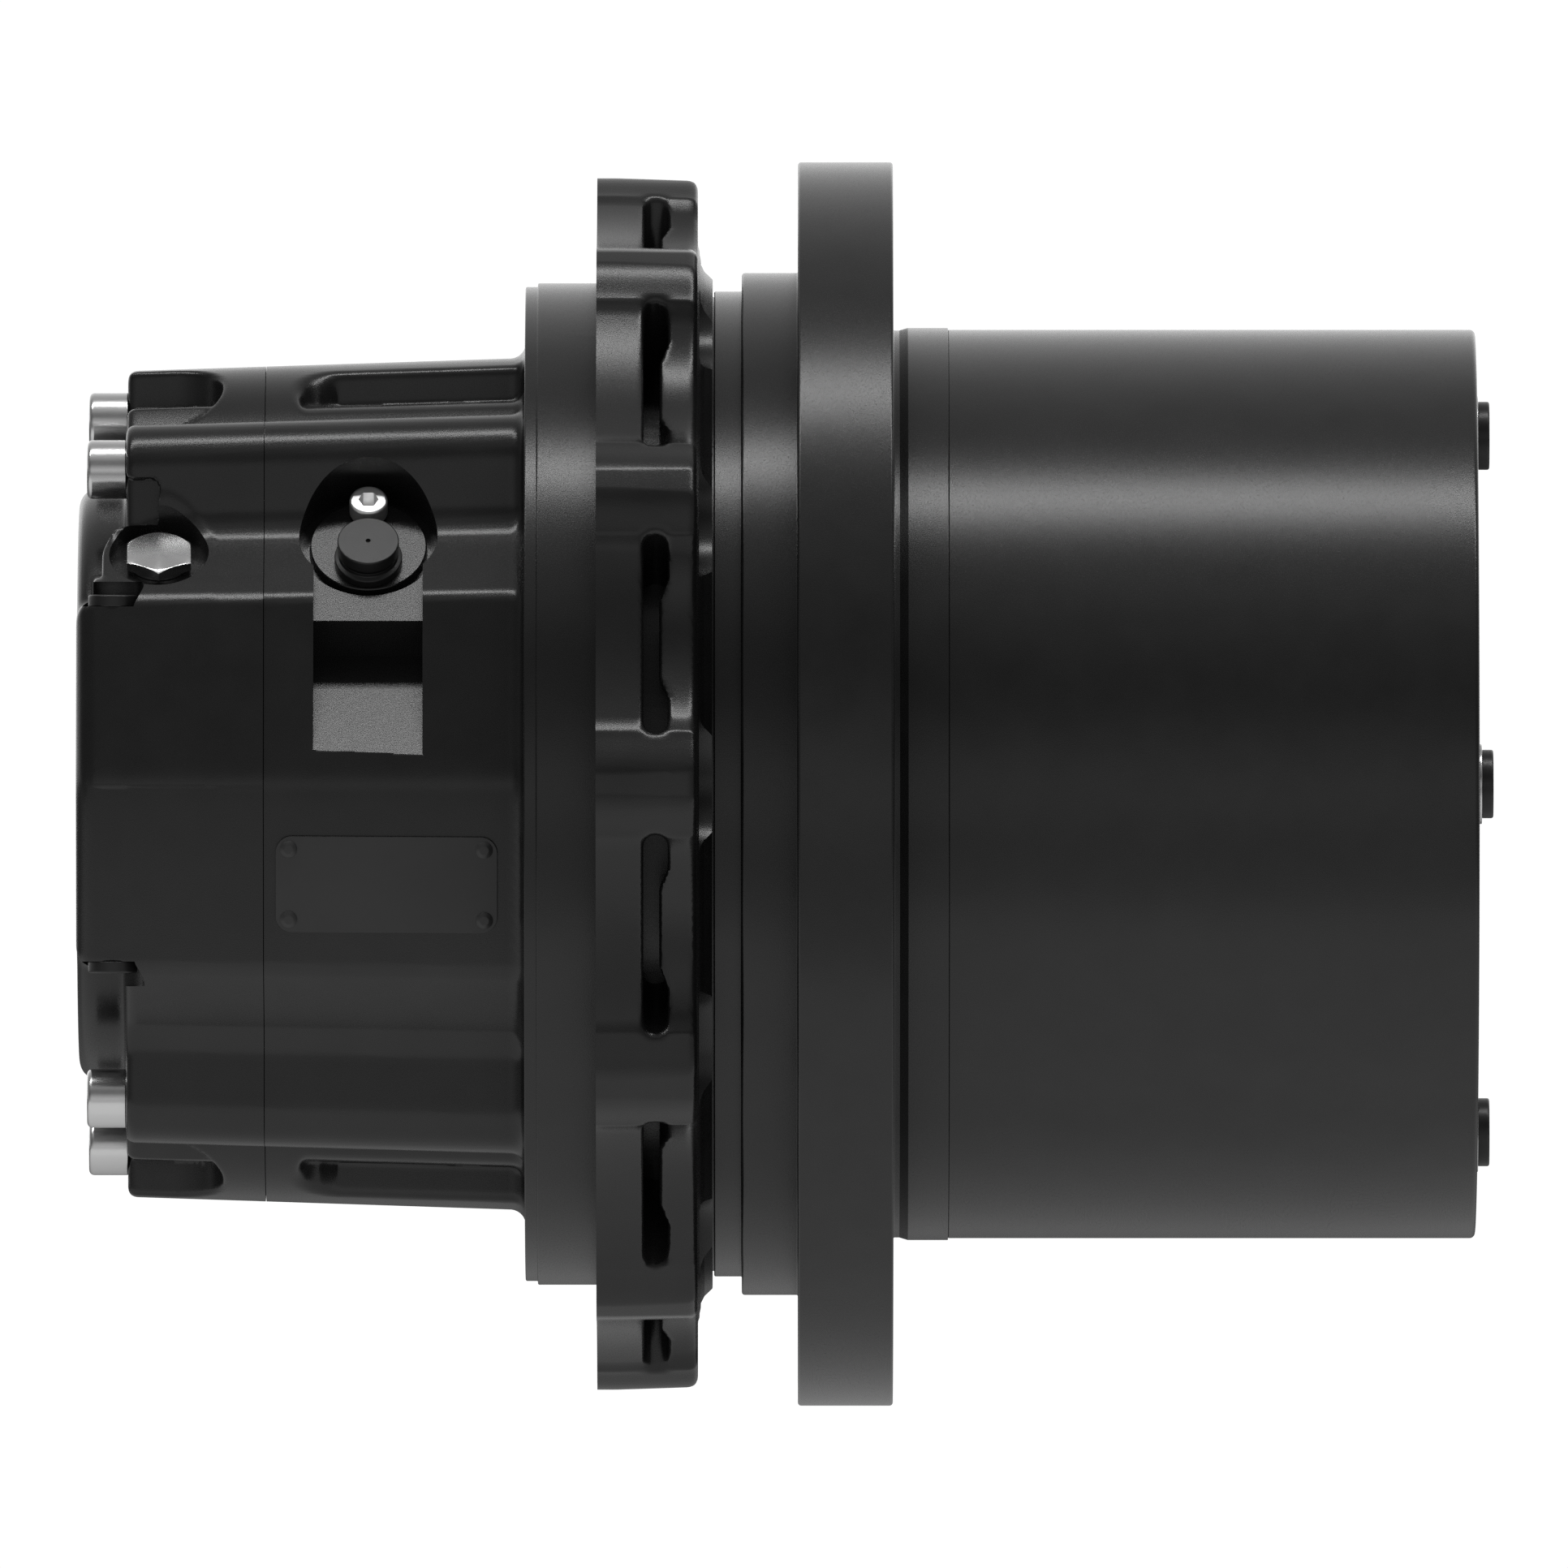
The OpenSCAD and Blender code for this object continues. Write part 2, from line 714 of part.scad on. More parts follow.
module race_pair(r_out, r_in) {
  for (x0 = [race_1_x0, race_2_x0]) difference() {
    tube(x0, x0 + race_w, r_out, r_in);
    rotate([0, 90, 0]) translate([0, 0, x0 + race_w / 2]) rotate_extrude($fn = 180)
      translate([ball_pitch_r, 0]) circle(r = ball_r + 0.1, $fn = 48);
  }
}

module bearing_inner_races() color(steel) {
  race_pair(race_in_r, spindle_r);
  tube(race_1_x0 + race_w, race_2_x0, 100, spindle_r);
}

module bearing_outer_races() color(steel) race_pair(race_seat_r, race_out_r);

module at_balls() {
  for (x0 = [race_1_x0, race_2_x0]) translate([x0 + race_w / 2, 0, 0])
    ring_of(spread(ball_count), ball_pitch_r) children();
}

module bearing_balls() color(steel) at_balls() sphere(r = ball_r, $fn = 48);

module bearing_cages() color(bronze) for (x0 = [race_1_x0, race_2_x0]) difference() {
  tube(x0 + 1, x0 + race_w - 1, 110.6, 106.6);
  for (a = spread(ball_count)) rotate([a, 0, 0]) translate([x0 + race_w / 2, 100, 0])
    rotate([-90, 0, 0]) cylinder(r = ball_r + 0.15, h = 20, $fn = 48);
}

// ---- Floating face seal ----

module seal_ring(x_face, s) {
  turned([for (p = [[0, 118], [0, 129], [3.4, 129], [3.4, 123], [13.5, 123], [13.5, 113], [2, 113]])
    [x_face + s * p[0], p[1]]]);
}

module toric(x) {
  rotate([0, 90, 0]) translate([0, 0, x]) rotate_extrude($fn = 180) translate([128.5, 0])
    circle(r = 5.3, $fn = 32);
}

module face_seal_fixed_ring() color(steel) seal_ring(seal_x - 0.02, -1);
module face_seal_turning_ring() color(steel) seal_ring(seal_x + 0.02, 1);
module face_seal_fixed_toric() color(rubber) toric(26.9);
module face_seal_turning_toric() color(rubber) toric(45.1);

// ---- Rotating housing ----

module sprocket_hub() color(black) difference() {
  turned([[hub_x0, 134], [hub_x0, lip_in_r - 0.8], [lip_x1 + 0.8, lip_in_r - 0.8],
    [lip_x1 + 0.8, lip_out_r + 0.6], [hub_x0, lip_out_r + 0.6], [hub_x0, 151.7], [44.5, 151.7],
    [44.5, 156.4], [45.5, 157.4],
    [flange_x0, 157.4], [flange_x0, flange_d / 2 - 1], [flange_x0 + 1, flange_d / 2],
    [flange_x1 - 1, flange_d / 2], [flange_x1, flange_d / 2 - 1], [flange_x1, 139.7],
    [93, 139.7], [pilot_x0, sprocket_pilot_d / 2], [drum_x0, sprocket_pilot_d / 2],
    [drum_x0, spigot_r], [118, spigot_r], [118, race_seat_r], [race_2_x0, race_seat_r],
    [race_2_x0, 115.5], [race_1_x0 + race_w, 115.5], [race_1_x0 + race_w, race_seat_r],
    [51.2, race_seat_r], [51.2, 134]]);
  ring_of(spread(sprocket_bolts, 180 / sprocket_bolts), sprocket_pcd / 2)
    rod(flange_x0 - 1, flange_x1 + 1, sprocket_hole_d / 2);
  ring_of(spread(drum_dowels_n), drum_dowel_r) rod(drum_x0 - 10, drum_x0 + 1, 3);
}

module ring_gear_drum() color(black) difference() {
  turned([[drum_x0, 100], [drum_x0, drum_d / 2], [drum_end_x - 1.75, drum_d / 2],
    [drum_end_x, drum_d / 2 - 1.75], [drum_end_x, 100]]);
  along_x(drum_x0 - 1, drum_end_x + 1) inner_gear_hole(z_ring);
  rod(drum_x0 - 1, 118, spigot_r);
  rod(117, 119.4, 124);
  rod(237, drum_end_x + 1, 124);
  rod(cover2_x0 - 2, drum_end_x + 1, spigot_r);
  tube(265, 268.2, 131, spigot_r - 1);
  ring_of(spread(drum_dowels_n), drum_dowel_r) rod(drum_x0 - 1, drum_x0 + 9, 3);
}

module drum_dowels() color(steel) ring_of(spread(drum_dowels_n), drum_dowel_r)
  rod(drum_x0 - 9, drum_x0 + 8, 3);

module drum_end_cover() color(black) difference() {
  union() {
    turned([[cover2_x0, 0], [cover2_x0, spigot_r - 0.02], [265, spigot_r - 0.02], [265, 124.6],
      [drum_end_x, 124.6], [drum_end_x, 56], [drum_end_x + 0.75, 55.5], [drum_end_x + 0.75, 0]]);
    tube(240, cover2_x0 + 1, 82, 50);
    rod(247, cover2_x0 + 1, 22);
  }
  tube(255, 259.4, 130, 124);
  ring_of([90, 180, 270], plug_r) rod(cover2_x0 - 1, drum_end_x + 1, 7.3);
  rod(240, 251, 15.05);
}

module drum_cover_oring() color(rubber) rotate([0, 90, 0]) translate([0, 0, 257.2])
  rotate_extrude($fn = 180) translate([126, 0]) circle(r = 1.93, $fn = 24);

module drum_cover_lock_ring() color(steel) difference() {
  tube(265.1, 268.1, 130.9, 124.8);
  translate([264, -4, -135]) cube([6, 8, 20]);
}

module oil_plugs() color(black) ring_of([90, 180, 270], plug_r) difference() {
  union() {
    rod(drum_end_x + 1, drum_end_x + 4.5, 10.5);
    rod(drum_end_x - 13, drum_end_x + 2, 7.28);
  }
  along_x(drum_end_x - 3, drum_end_x + 5) circle(r = 4.6, $fn = 6);
}

module oil_plug_washers() color(zinc) ring_of([90, 180, 270], plug_r)
  tube(drum_end_x, drum_end_x + 1, 12.25, 7.3);

module thrust_pads() color(bronze) {
  rod(234, 251, 15);
  tube(236.3, 240, 80, 52);
}

motor_housing();
motor_end_cover();
end_cover_seal();
end_cover_screws();
gauge_plug();
gauge_plug_washer();
pad_plugs();
sensor_plug();
sensor_plug_ring();
sensor_plug_screw();
nameplate();
nameplate_rivets();
valve_plate();
swash_plate();
shaft_rear_bearing();
shaft_front_bearing();
shaft_seal();
brake_springs();
brake_piston();
brake_separators();
brake_friction_discs();
cylinder_block();
block_spring();
pistons();
piston_slippers();
slipper_retainer();
motor_shaft();
shaft_coupling();
sun_gear_1();
planet_gear_1a();
planet_gear_1b();
planet_gear_1c();
planet_pins_1();
carrier_1();
sun_gear_2();
planet_gear_2a();
planet_gear_2b();
planet_gear_2c();
planet_gear_2d();
planet_pins_2();
carrier_2();
carrier_2_bolts();
carrier_2_dowels();
bearing_inner_races();
bearing_outer_races();
bearing_balls();
bearing_cages();
face_seal_fixed_ring();
face_seal_turning_ring();
face_seal_fixed_toric();
face_seal_turning_toric();
sprocket_hub();
ring_gear_drum();
drum_dowels();
drum_end_cover();
drum_cover_oring();
drum_cover_lock_ring();
oil_plugs();
oil_plug_washers();
thrust_pads();
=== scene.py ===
import json
import math

import bpy
import numpy as np
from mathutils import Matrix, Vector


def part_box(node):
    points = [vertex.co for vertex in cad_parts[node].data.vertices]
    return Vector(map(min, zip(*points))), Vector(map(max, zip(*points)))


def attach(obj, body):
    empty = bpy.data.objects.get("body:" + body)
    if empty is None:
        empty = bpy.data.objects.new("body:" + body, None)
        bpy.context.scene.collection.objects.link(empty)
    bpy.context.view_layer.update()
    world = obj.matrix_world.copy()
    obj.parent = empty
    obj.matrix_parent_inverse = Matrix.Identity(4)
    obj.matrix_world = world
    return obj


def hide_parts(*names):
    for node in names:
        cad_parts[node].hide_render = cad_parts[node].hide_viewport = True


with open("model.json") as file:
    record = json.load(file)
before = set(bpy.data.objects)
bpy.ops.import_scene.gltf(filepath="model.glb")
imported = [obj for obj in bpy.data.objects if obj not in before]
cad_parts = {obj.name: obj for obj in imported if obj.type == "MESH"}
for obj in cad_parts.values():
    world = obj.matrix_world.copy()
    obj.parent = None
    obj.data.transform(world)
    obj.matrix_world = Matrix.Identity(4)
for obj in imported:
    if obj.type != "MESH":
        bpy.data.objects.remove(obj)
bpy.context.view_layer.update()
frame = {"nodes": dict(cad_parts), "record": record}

import openvdb
from mathutils import Matrix, Vector

# Hydraulic track drive: the visible pieces, their materials and the stage.
# Sizes below are in millimetres in the shared frame: +X is the axis of rotation, +Z is up
# and -Y is the side with the nameplate. MM turns them into metres.
MM = 0.001

# Stations along the axis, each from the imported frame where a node's box gives it
STEP_X = -144.5
JOINT_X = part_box("motor_end_cover")[1].x / MM
COVER_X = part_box("motor_end_cover")[0].x / MM
BODY_X1 = -22.0
NECK_X1 = 35.5
HUB_X0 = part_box("sprocket_hub")[0].x / MM
SPINDLE_X1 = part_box("motor_housing")[1].x / MM
FLANGE_X0 = 61.75
FLANGE_X1 = 91.0
PILOT_X0 = 95.6
DRUM_X0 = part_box("ring_gear_drum")[0].x / MM
DRUM_X1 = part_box("ring_gear_drum")[1].x / MM
RACE_X0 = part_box("bearing_outer_races")[0].x / MM

# Radii and circles
FLANGE_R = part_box("sprocket_hub")[1].z / MM
DRUM_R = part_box("ring_gear_drum")[1].z / MM
SPROCKET_PILOT_R = 140.5
FRAME_PILOT_R = 154.25
SPIGOT_R = 128.0
CORE_R = 104.0
CROWN_R = 128.6
CROWN_ARC_R = 55.3
LOBE_AT = (58.15, 97.3)
LOBE_R = 14.0
PLATE_R = 150.0
CAST_FILLET_R = 4.7
BOSS_R = 91.0
SCREW_CIRCLE_R = 111.5
SCREW_ANGLES = (60, 90, 120, 240, 270, 300)
LUG_CIRCLE_R = 173.6
LUG_COUNT = 12
LUG_R = 13.0
LUG_TIP_R = 186.6
WEB_R = 181.0
FLANGE_HUB_R = 163.5
SPROCKET_CIRCLE_R = 170.0
SPROCKET_BOLTS = 16
OIL_PLUG_R = 107.25
OIL_PLUG_ANGLES = (90, 180, 270)
RING_TEETH = 63
DRAFT = 0.0331 / CROWN_R

# Faces of the side pad: outward direction (across, up) and distance from the axis at the joint
PAD_SLOPE = (0.644, 0.765, 106.4)
PAD_FRONT = (0.978, 0.209, 107.1)
PAD_TOP = 86.0
# How far each casting's machined joint face stands back from the joint plane
JOINT_GAP = 0.12
# Grid spacing of the blended castings
HOUSING_CELL = 1.0
COVER_CELL = 0.8

# Sensor port, gauge port and nameplate
PORT_AT = (-70.0, -74.4, 73.8)
PORT_TILT = 41.0
GAUGE_AT = (-134.2, -77.9, 67.5)
GAUGE_TILT = 55.0
SENSOR_Y = -6.5
SENSOR_SCREW_Y = 12.9
PAD_PLUG_AT = (-148.3, -90.0, 54.4)
PLATE_SIZE = (68.0, 30.0, 0.8)
PLATE_AT = (-64.25, -30.75)
PLATE_TILT = math.atan2(10.7, 50.0)


# ---- Materials ----

def add_node(material, kind, **sockets):
    """Adds a shader node and sets its input sockets by name."""
    made = material.node_tree.nodes.new(kind)
    for name, value in sockets.items():
        made.inputs[name].default_value = value
    return made


def noise(material, coords, scale, detail=3.0, stretch=(1, 1, 1)):
    """Procedural noise in the piece's own coordinates, stretched where marks run one way."""
    links = material.node_tree.links
    mapping = add_node(material, "ShaderNodeMapping", Scale=stretch)
    texture = add_node(material, "ShaderNodeTexNoise", Scale=scale, Detail=detail)
    links.new(coords.outputs["Object"], mapping.inputs["Vector"])
    links.new(mapping.outputs["Vector"], texture.inputs["Vector"])
    return texture.outputs["Fac"]


def surface(name, dark, light, metallic, roughness, grain, bump, stretch=(1, 1, 1), coat=0.0):
    """Node-based material: fine grain in the bump and roughness, and broad cloudy colour."""
    material = bpy.data.materials.new(name)
    material.use_nodes = True
    links = material.node_tree.links
    shader = material.node_tree.nodes["Principled BSDF"]
    shader.inputs["Metallic"].default_value = metallic
    shader.inputs["Coat Weight"].default_value = coat
    coords = add_node(material, "ShaderNodeTexCoord")
    fine = noise(material, coords, grain, 4.0, stretch)
    broad = noise(material, coords, grain / 40, 5.0, stretch)

    colour = add_node(material, "ShaderNodeValToRGB")
    colour.color_ramp.elements[0].position = 0.3
    colour.color_ramp.elements[0].color = (*dark, 1)
    colour.color_ramp.elements[1].position = 0.7
    colour.color_ramp.elements[1].color = (*light, 1)
    links.new(broad, colour.inputs["Fac"])
    links.new(colour.outputs["Color"], shader.inputs["Base Color"])

    gloss = add_node(material, "ShaderNodeMapRange")
    gloss.inputs["From Min"].default_value = 0.3
    gloss.inputs["From Max"].default_value = 0.7
    gloss.inputs["To Min"].default_value = roughness * 0.9
    gloss.inputs["To Max"].default_value = roughness * 1.1
    links.new(fine, gloss.inputs["Value"])
    links.new(gloss.outputs["Result"], shader.inputs["Roughness"])

    relief = add_node(material, "ShaderNodeBump", Strength=bump, Distance=0.0001)
    links.new(fine, relief.inputs["Height"])
    links.new(relief.outputs["Normal"], shader.inputs["Normal"])
    return material


def grey(value, warm=0.0):
    return (value * (1 + warm), value, value * (1 - warm))


CAST_PAINT = surface("cast_paint", grey(0.008), grey(0.012), 0.0, 0.26, 2600, 0.28)
TURNED_PAINT = surface("turned_paint", grey(0.008), grey(0.012), 0.0, 0.26, 2900, 0.28)
PLATE_PAINT = surface("plate_paint", grey(0.028), grey(0.034), 0.0, 0.42, 1800, 0.2)
PLUG_BLACK = surface("plug_black", grey(0.006), grey(0.012), 0.0, 0.34, 2000, 0.12)
ZINC = surface("zinc", grey(0.62), grey(0.74), 1.0, 0.24, 1500, 0.06, (0.25, 1, 1))
# Lighter, partly diffuse copy of zinc for the sensor plug's screw: a painted highlight that stands in for
# the reflection its recess blocks
ZINC_WITH_PAINTED_HIGHLIGHT = surface("zinc_painted_highlight", grey(0.86), grey(0.94), 0.85, 0.32, 1500, 0.04)
MACHINED = surface("machined_paint", grey(0.010), grey(0.014), 0.0, 0.42, 3000, 0.3)
GEAR_STEEL = surface("gear_steel", grey(0.30), grey(0.42), 1.0, 0.36, 900, 0.18, (4, 1, 1))
GROUND_STEEL = surface("ground_steel", grey(0.48), grey(0.60), 1.0, 0.22, 1400, 0.12, (6, 1, 1))
BRONZE = surface("bronze", (0.50, 0.33, 0.14), (0.62, 0.42, 0.19), 1.0, 0.33, 1100, 0.15)
RUBBER = surface("rubber", grey(0.012), grey(0.020), 0.0, 0.62, 1500, 0.3)
SEAL_RUBBER = surface("seal_rubber", (0.20, 0.03, 0.02), (0.28, 0.045, 0.03), 0.0, 0.55, 1500, 0.25)

LOOK_OF_SLOT = {
    "cast_paint": CAST_PAINT,
    "turned_paint": TURNED_PAINT,
    "plate_paint": PLATE_PAINT,
    "plug_black": PLUG_BLACK,
    "zinc": ZINC,
    "gear_steel": GEAR_STEEL,
    "ground_steel": GROUND_STEEL,
    "bronze": BRONZE,
    "rubber": RUBBER,
    "seal_rubber": SEAL_RUBBER,
}


# ---- Solids as (vertices, faces) in millimetres ----

def lathe(outline, steps=192, wave=None):
    """Turns a closed outline of [x, radius] about the X axis; wave changes marked radii."""
    angles = np.arange(steps) * 2 * math.pi / steps
    verts = []
    rings = []
    for point in outline:
        first = len(verts)
        if point[1] < 1e-6:
            verts.append((point[0], 0.0, 0.0))
            rings.append([first] * steps)
            continue
        radii = wave if len(point) > 2 else None
        for i, a in enumerate(angles):
            r = radii[i] if radii is not None else point[1]
            verts.append((point[0], r * math.cos(a), r * math.sin(a)))
        rings.append(list(range(first, first + steps)))
    faces = []
    for k, ring in enumerate(rings):
        after = rings[(k + 1) % len(rings)]
        for i in range(steps):
            j = (i + 1) % steps
            corners = [ring[i], ring[j], after[j], after[i]]
            unique = list(dict.fromkeys(corners))
            if len(unique) > 2:
                faces.append(unique)
    return np.array(verts), faces


def rounded(points, radius=0.4, arc_steps=3):
    """Rounds each corner of a closed outline by radius, or by the corner's own third number."""
    out = []
    for i, point in enumerate(points):
        here = Vector(point[:2])
        back = Vector(points[i - 1][:2]) - here
        ahead = Vector(points[(i + 1) % len(points)][:2]) - here
        want = point[2] if len(point) > 2 else radius
        if want <= 0 or point[1] < 1e-6:
            out.append(tuple(here))
            continue
        half = back.angle(ahead) / 2
        if half > math.pi / 2 - 0.01:
            out.append(tuple(here))
            continue
        cut = min(want / math.tan(half), 0.45 * back.length, 0.45 * ahead.length)
        r = cut * math.tan(half)
        centre = here + (back.normalized() + ahead.normalized()).normalized() * (r / math.sin(half))
        start = here + back.normalized() * cut - centre
        end = here + ahead.normalized() * cut - centre
        sweep = start.angle_signed(end)
        for k in range(arc_steps + 1):
            turn = -sweep * k / arc_steps
            c, s = math.cos(turn), math.sin(turn)
            out.append((centre.x + c * start.x - s * start.y, centre.y + s * start.x + c * start.y))
    return out


def prism(outline, z0, z1):
    """Extrudes an outline of [x, y] from z0 to z1."""
    n = len(outline)
    verts = [(x, y, z0) for x, y in outline] + [(x, y, z1) for x, y in outline]
    faces = [[i, (i + 1) % n, n + (i + 1) % n, n + i] for i in range(n)]
    faces += [list(range(n))[::-1], list(range(n, 2 * n))]
    return np.array(verts, float), faces


def placed(solid, matrix):
    """The solid moved by a 4x4 matrix."""
    turn = np.array(matrix)
    return solid[0] @ turn[:3, :3].T + turn[:3, 3], solid[1]


def moved(solid, x=0.0, y=0.0, z=0.0):
    return solid[0] + np.array((x, y, z)), solid[1]


def together(solids):
    """Several separate solids as one."""
    verts = []
    faces = []
    count = 0
    for v, f in solids:
        verts.append(v)
        faces += [[i + count for i in face] for face in f]
        count += len(v)
    return np.concatenate(verts), faces


def on_circle(solid, angles, radius):
    """Copies of a solid whose own axis is X, on a circle about the main axis."""
    return together([
        moved(solid, 0, radius * math.cos(math.radians(a)), radius * math.sin(math.radians(a)))
        for a in angles
    ])


def hole(x0, x1, r, steps=64):
    return lathe([(x0, 0), (x0, r), (x1, r), (x1, 0)], steps)


def tapped_hole(x0, x1, r, pitch=2.0, depth=1.1, steps=40):
    """Cutter for a tapped hole: a chamfered mouth at each end and thread grooves between."""
    outline = [(x0, 0), (x0, r + depth + 0.5), (x0 + 1.2 + depth, r)]
    count = int((x1 - x0 - 6) / pitch)
    for k in range(count):
        x = x0 + 3 + k * pitch
        outline += [(x, r), (x + 0.5 * pitch, r + depth), (x + pitch - 0.02, r)]
    outline += [(x1 - 1.2 - depth, r), (x1, r + depth + 0.5), (x1, 0)]
    return lathe(outline, steps)


def hexagon(across_flats, first=0.0):
    r = across_flats / 2 / math.cos(math.pi / 6)
    return [
        (r * math.cos(math.radians(first + 60 * k)), r * math.sin(math.radians(first + 60 * k)))
        for k in range(6)
    ]


def spread(n, first=0.0):
    return [first + 360 * k / n for k in range(n)]


# Local frames whose +X points out of the port, for solids turned about X
def out_of(at, elevation, roll=0.0):
    """Matrix that carries +X onto the outward port direction and +Z up the port's face."""
    up = math.radians(elevation)
    outward = Vector((0, -math.cos(up), math.sin(up)))
    upward = Vector((0, math.sin(up), math.cos(up)))
    side = upward.cross(outward)
    turn = Matrix((outward, side, upward)).transposed().to_4x4()
    return Matrix.Translation(Vector(at)) @ turn @ Matrix.Rotation(math.radians(roll), 4, "X")


PORT = out_of(PORT_AT, PORT_TILT)
GAUGE = out_of(GAUGE_AT, GAUGE_TILT)
ALONG_X = Matrix.Rotation(math.radians(90), 4, "Y")


# ---- Blender objects ----

def to_object(name, solid, material=None):
    mesh = bpy.data.meshes.new(name)
    verts, faces = solid
    mesh.from_pydata((verts * MM).tolist(), [], faces if isinstance(faces, list) else faces.tolist())
    if material:
        mesh.materials.append(material)
    made = bpy.data.objects.new(name, mesh)
    bpy.context.scene.collection.objects.link(made)
    outward(made)
    return made


def outward(piece):
    """Turns the faces outward if the mesh encloses a negative volume."""
    mesh = piece.data
    mesh.calc_loop_triangles()
    count = len(mesh.loop_triangles)
    corners = np.empty(count * 3, int)
    mesh.loop_triangles.foreach_get("vertices", corners)
    co = np.empty(len(mesh.vertices) * 3)
    mesh.vertices.foreach_get("co", co)
    a, b, c = co.reshape(-1, 3)[corners.reshape(-1, 3)].transpose(1, 0, 2)
    if np.einsum("ij,ij->i", a, np.cross(b, c)).sum() < 0:
        mesh.flip_normals()


def bake_modifiers(piece):
    """Applies the modifiers to the piece's own mesh."""
    graph = bpy.context.evaluated_depsgraph_get()
    mesh = bpy.data.meshes.new_from_object(piece.evaluated_get(graph))
    old = piece.data
    piece.modifiers.clear()
    piece.data = mesh
    bpy.data.meshes.remove(old)


def use_up(piece, tool, operation):
    """Boolean of a piece with another object, which is removed."""
    step = piece.modifiers.new("combine", "BOOLEAN")
    step.operation = operation
    step.solver = "MANIFOLD"
    step.object = tool
    bpy.context.view_layer.update()
    bake_modifiers(piece)
    bpy.data.objects.remove(tool)


def combine(piece, solids, operation):
    """Boolean of a piece with each solid in turn."""
    for solid in solids:
        use_up(piece, to_object("tool", solid), operation)
    return piece


def carve(piece, *solids):
    return combine(piece, solids, "DIFFERENCE")


def join(piece, *solids):
    return combine(piece, solids, "UNION")


def finished(piece, body, nodes, crease=34):
    """Shades a piece, ties it to its body and hides the CAD nodes it stands in for."""
    mesh = piece.data
    mesh.name = piece.name
    mesh.polygons.foreach_set("use_smooth", np.ones(len(mesh.polygons), bool))
    mesh.set_sharp_from_angle(angle=math.radians(crease))
    weights = piece.modifiers.new("weights", "WEIGHTED_NORMAL")
    weights.keep_sharp = True
    weights.mode = "FACE_AREA_WITH_ANGLE"
    bake_modifiers(piece)
    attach(piece, body)
    if nodes:
        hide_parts(*nodes)
    return piece


# ---- Castings as blended solids ----

def blend_min(a, b, k):
    """Union of two distance fields with a fillet about k wide."""
    h = np.maximum(k - np.abs(a - b), 0)
    return np.minimum(a, b) - h * h / (4 * k)


def blend_max(a, b, k):
    """Intersection of two distance fields with a rounded edge about k wide."""
    return -blend_min(-a, -b, k)


def fillet_min(a, b, r):
    """Union of two distance fields with a circular fillet of radius r."""
    return np.maximum(r, np.minimum(a, b)) - np.hypot(np.maximum(r - a, 0), np.maximum(r - b, 0))


def skin(field, low, high, cell):
    """Mesh of the surface field(x, y, z) = 0, with each vertex moved onto the surface."""
    axes = [np.arange(lo, hi + cell, cell, dtype=np.float32) for lo, hi in zip(low, high)]
    x, y, z = np.meshgrid(*axes, indexing="ij", sparse=True)
    values = np.clip(field(x, y, z) / cell, -3, 3).astype(np.float32)
    grid = openvdb.FloatGrid(3.0)
    grid.copyFromArray(np.ascontiguousarray(values))
    points, triangles, quads = grid.convertToPolygons(isovalue=0.0, adaptivity=0.0)
    points = points.astype(np.float64) * cell + np.array(low)
    eps = 0.02
    for _ in range(3):
        value = field(*points.T)
        slope = np.stack([
            field(*(points + eps * axis).T) - field(*(points - eps * axis).T) for axis in np.eye(3)
        ], axis=1) / (2 * eps)
        length = np.maximum((slope ** 2).sum(1), 0.2)
        step = (value / length)[:, None] * slope
        points -= np.clip(step, -0.5 * cell, 0.5 * cell)
    return points, [list(map(int, f)) for f in triangles] + [list(map(int, f)) for f in quads]


def body_section(x, y, z):
    """Distance fields of the motor body without its crown and of the crown, and the coordinates
    u = |y| and v = |z| that they are drawn in, scaled so that the body grows with the draft."""
    scale = 1 + (x - JOINT_X) * DRAFT
    u = np.abs(y) / scale
    v = np.abs(z) / scale
    radius = np.hypot(u, v)
    crown = np.hypot(u, v - (CROWN_R - CROWN_ARC_R)) - CROWN_ARC_R
    lobe = np.hypot(u - LOBE_AT[0], np.maximum(v - LOBE_AT[1], 0)) - LOBE_R
    # The two front faces meet in a soft ridge at the height of the axis
    soft_v = np.sqrt(v * v + 16)
    slope = PAD_SLOPE[0] * u + PAD_SLOPE[1] * v - PAD_SLOPE[2]
    front = PAD_FRONT[0] * u + PAD_FRONT[1] * soft_v - PAD_FRONT[2]
    pad = np.maximum(blend_max(slope, front, 1.8), v - PAD_TOP)
    shape = np.minimum(fillet_min(lobe, pad, CAST_FILLET_R), radius - CORE_R)
    return shape, crown, u, v


def channel(u, along, wall_u, r):
    """Vertical-walled channel 2r wide with its back wall at wall_u, round where along passes 0."""
    return np.hypot(np.maximum(along, 0), u - wall_u - r) - r


def housing_field(x, y, z):
    """Motor body between the joint and the frame pilot, with its round plate."""
    shape, crown, u, v = body_section(x, y, z)
    # Pocket in the crown, its round left end ramped
    pocket_end_x, pocket_wall_u, pocket_r, pocket_floor_v = -79.3, 17.4, 15, 115.3
    ramp_rise, ramp_run, ramp_top_v = 0.35, 6, 126
    along = pocket_end_x - x
    ramp = ramp_rise * np.clip(along / ramp_run, 0, 1) * np.maximum(ramp_top_v - v, 0)
    pocket = blend_max(channel(u, along, pocket_wall_u, pocket_r) + ramp, pocket_floor_v - v, 1.5)
    shape = blend_min(shape, blend_max(crown, -pocket, 2.5), 2)
    plate = np.maximum(np.hypot(y, z) - PLATE_R, BODY_X1 - x)
    shape = fillet_min(shape, plate, CAST_FILLET_R)
    # Both ends run past their faces: one is cut at the joint, the other is inside the pilot
    past_joint, past_pilot = JOINT_X - 4, BODY_X1 + 4
    return np.maximum(shape, np.maximum(x - past_pilot, past_joint - x))


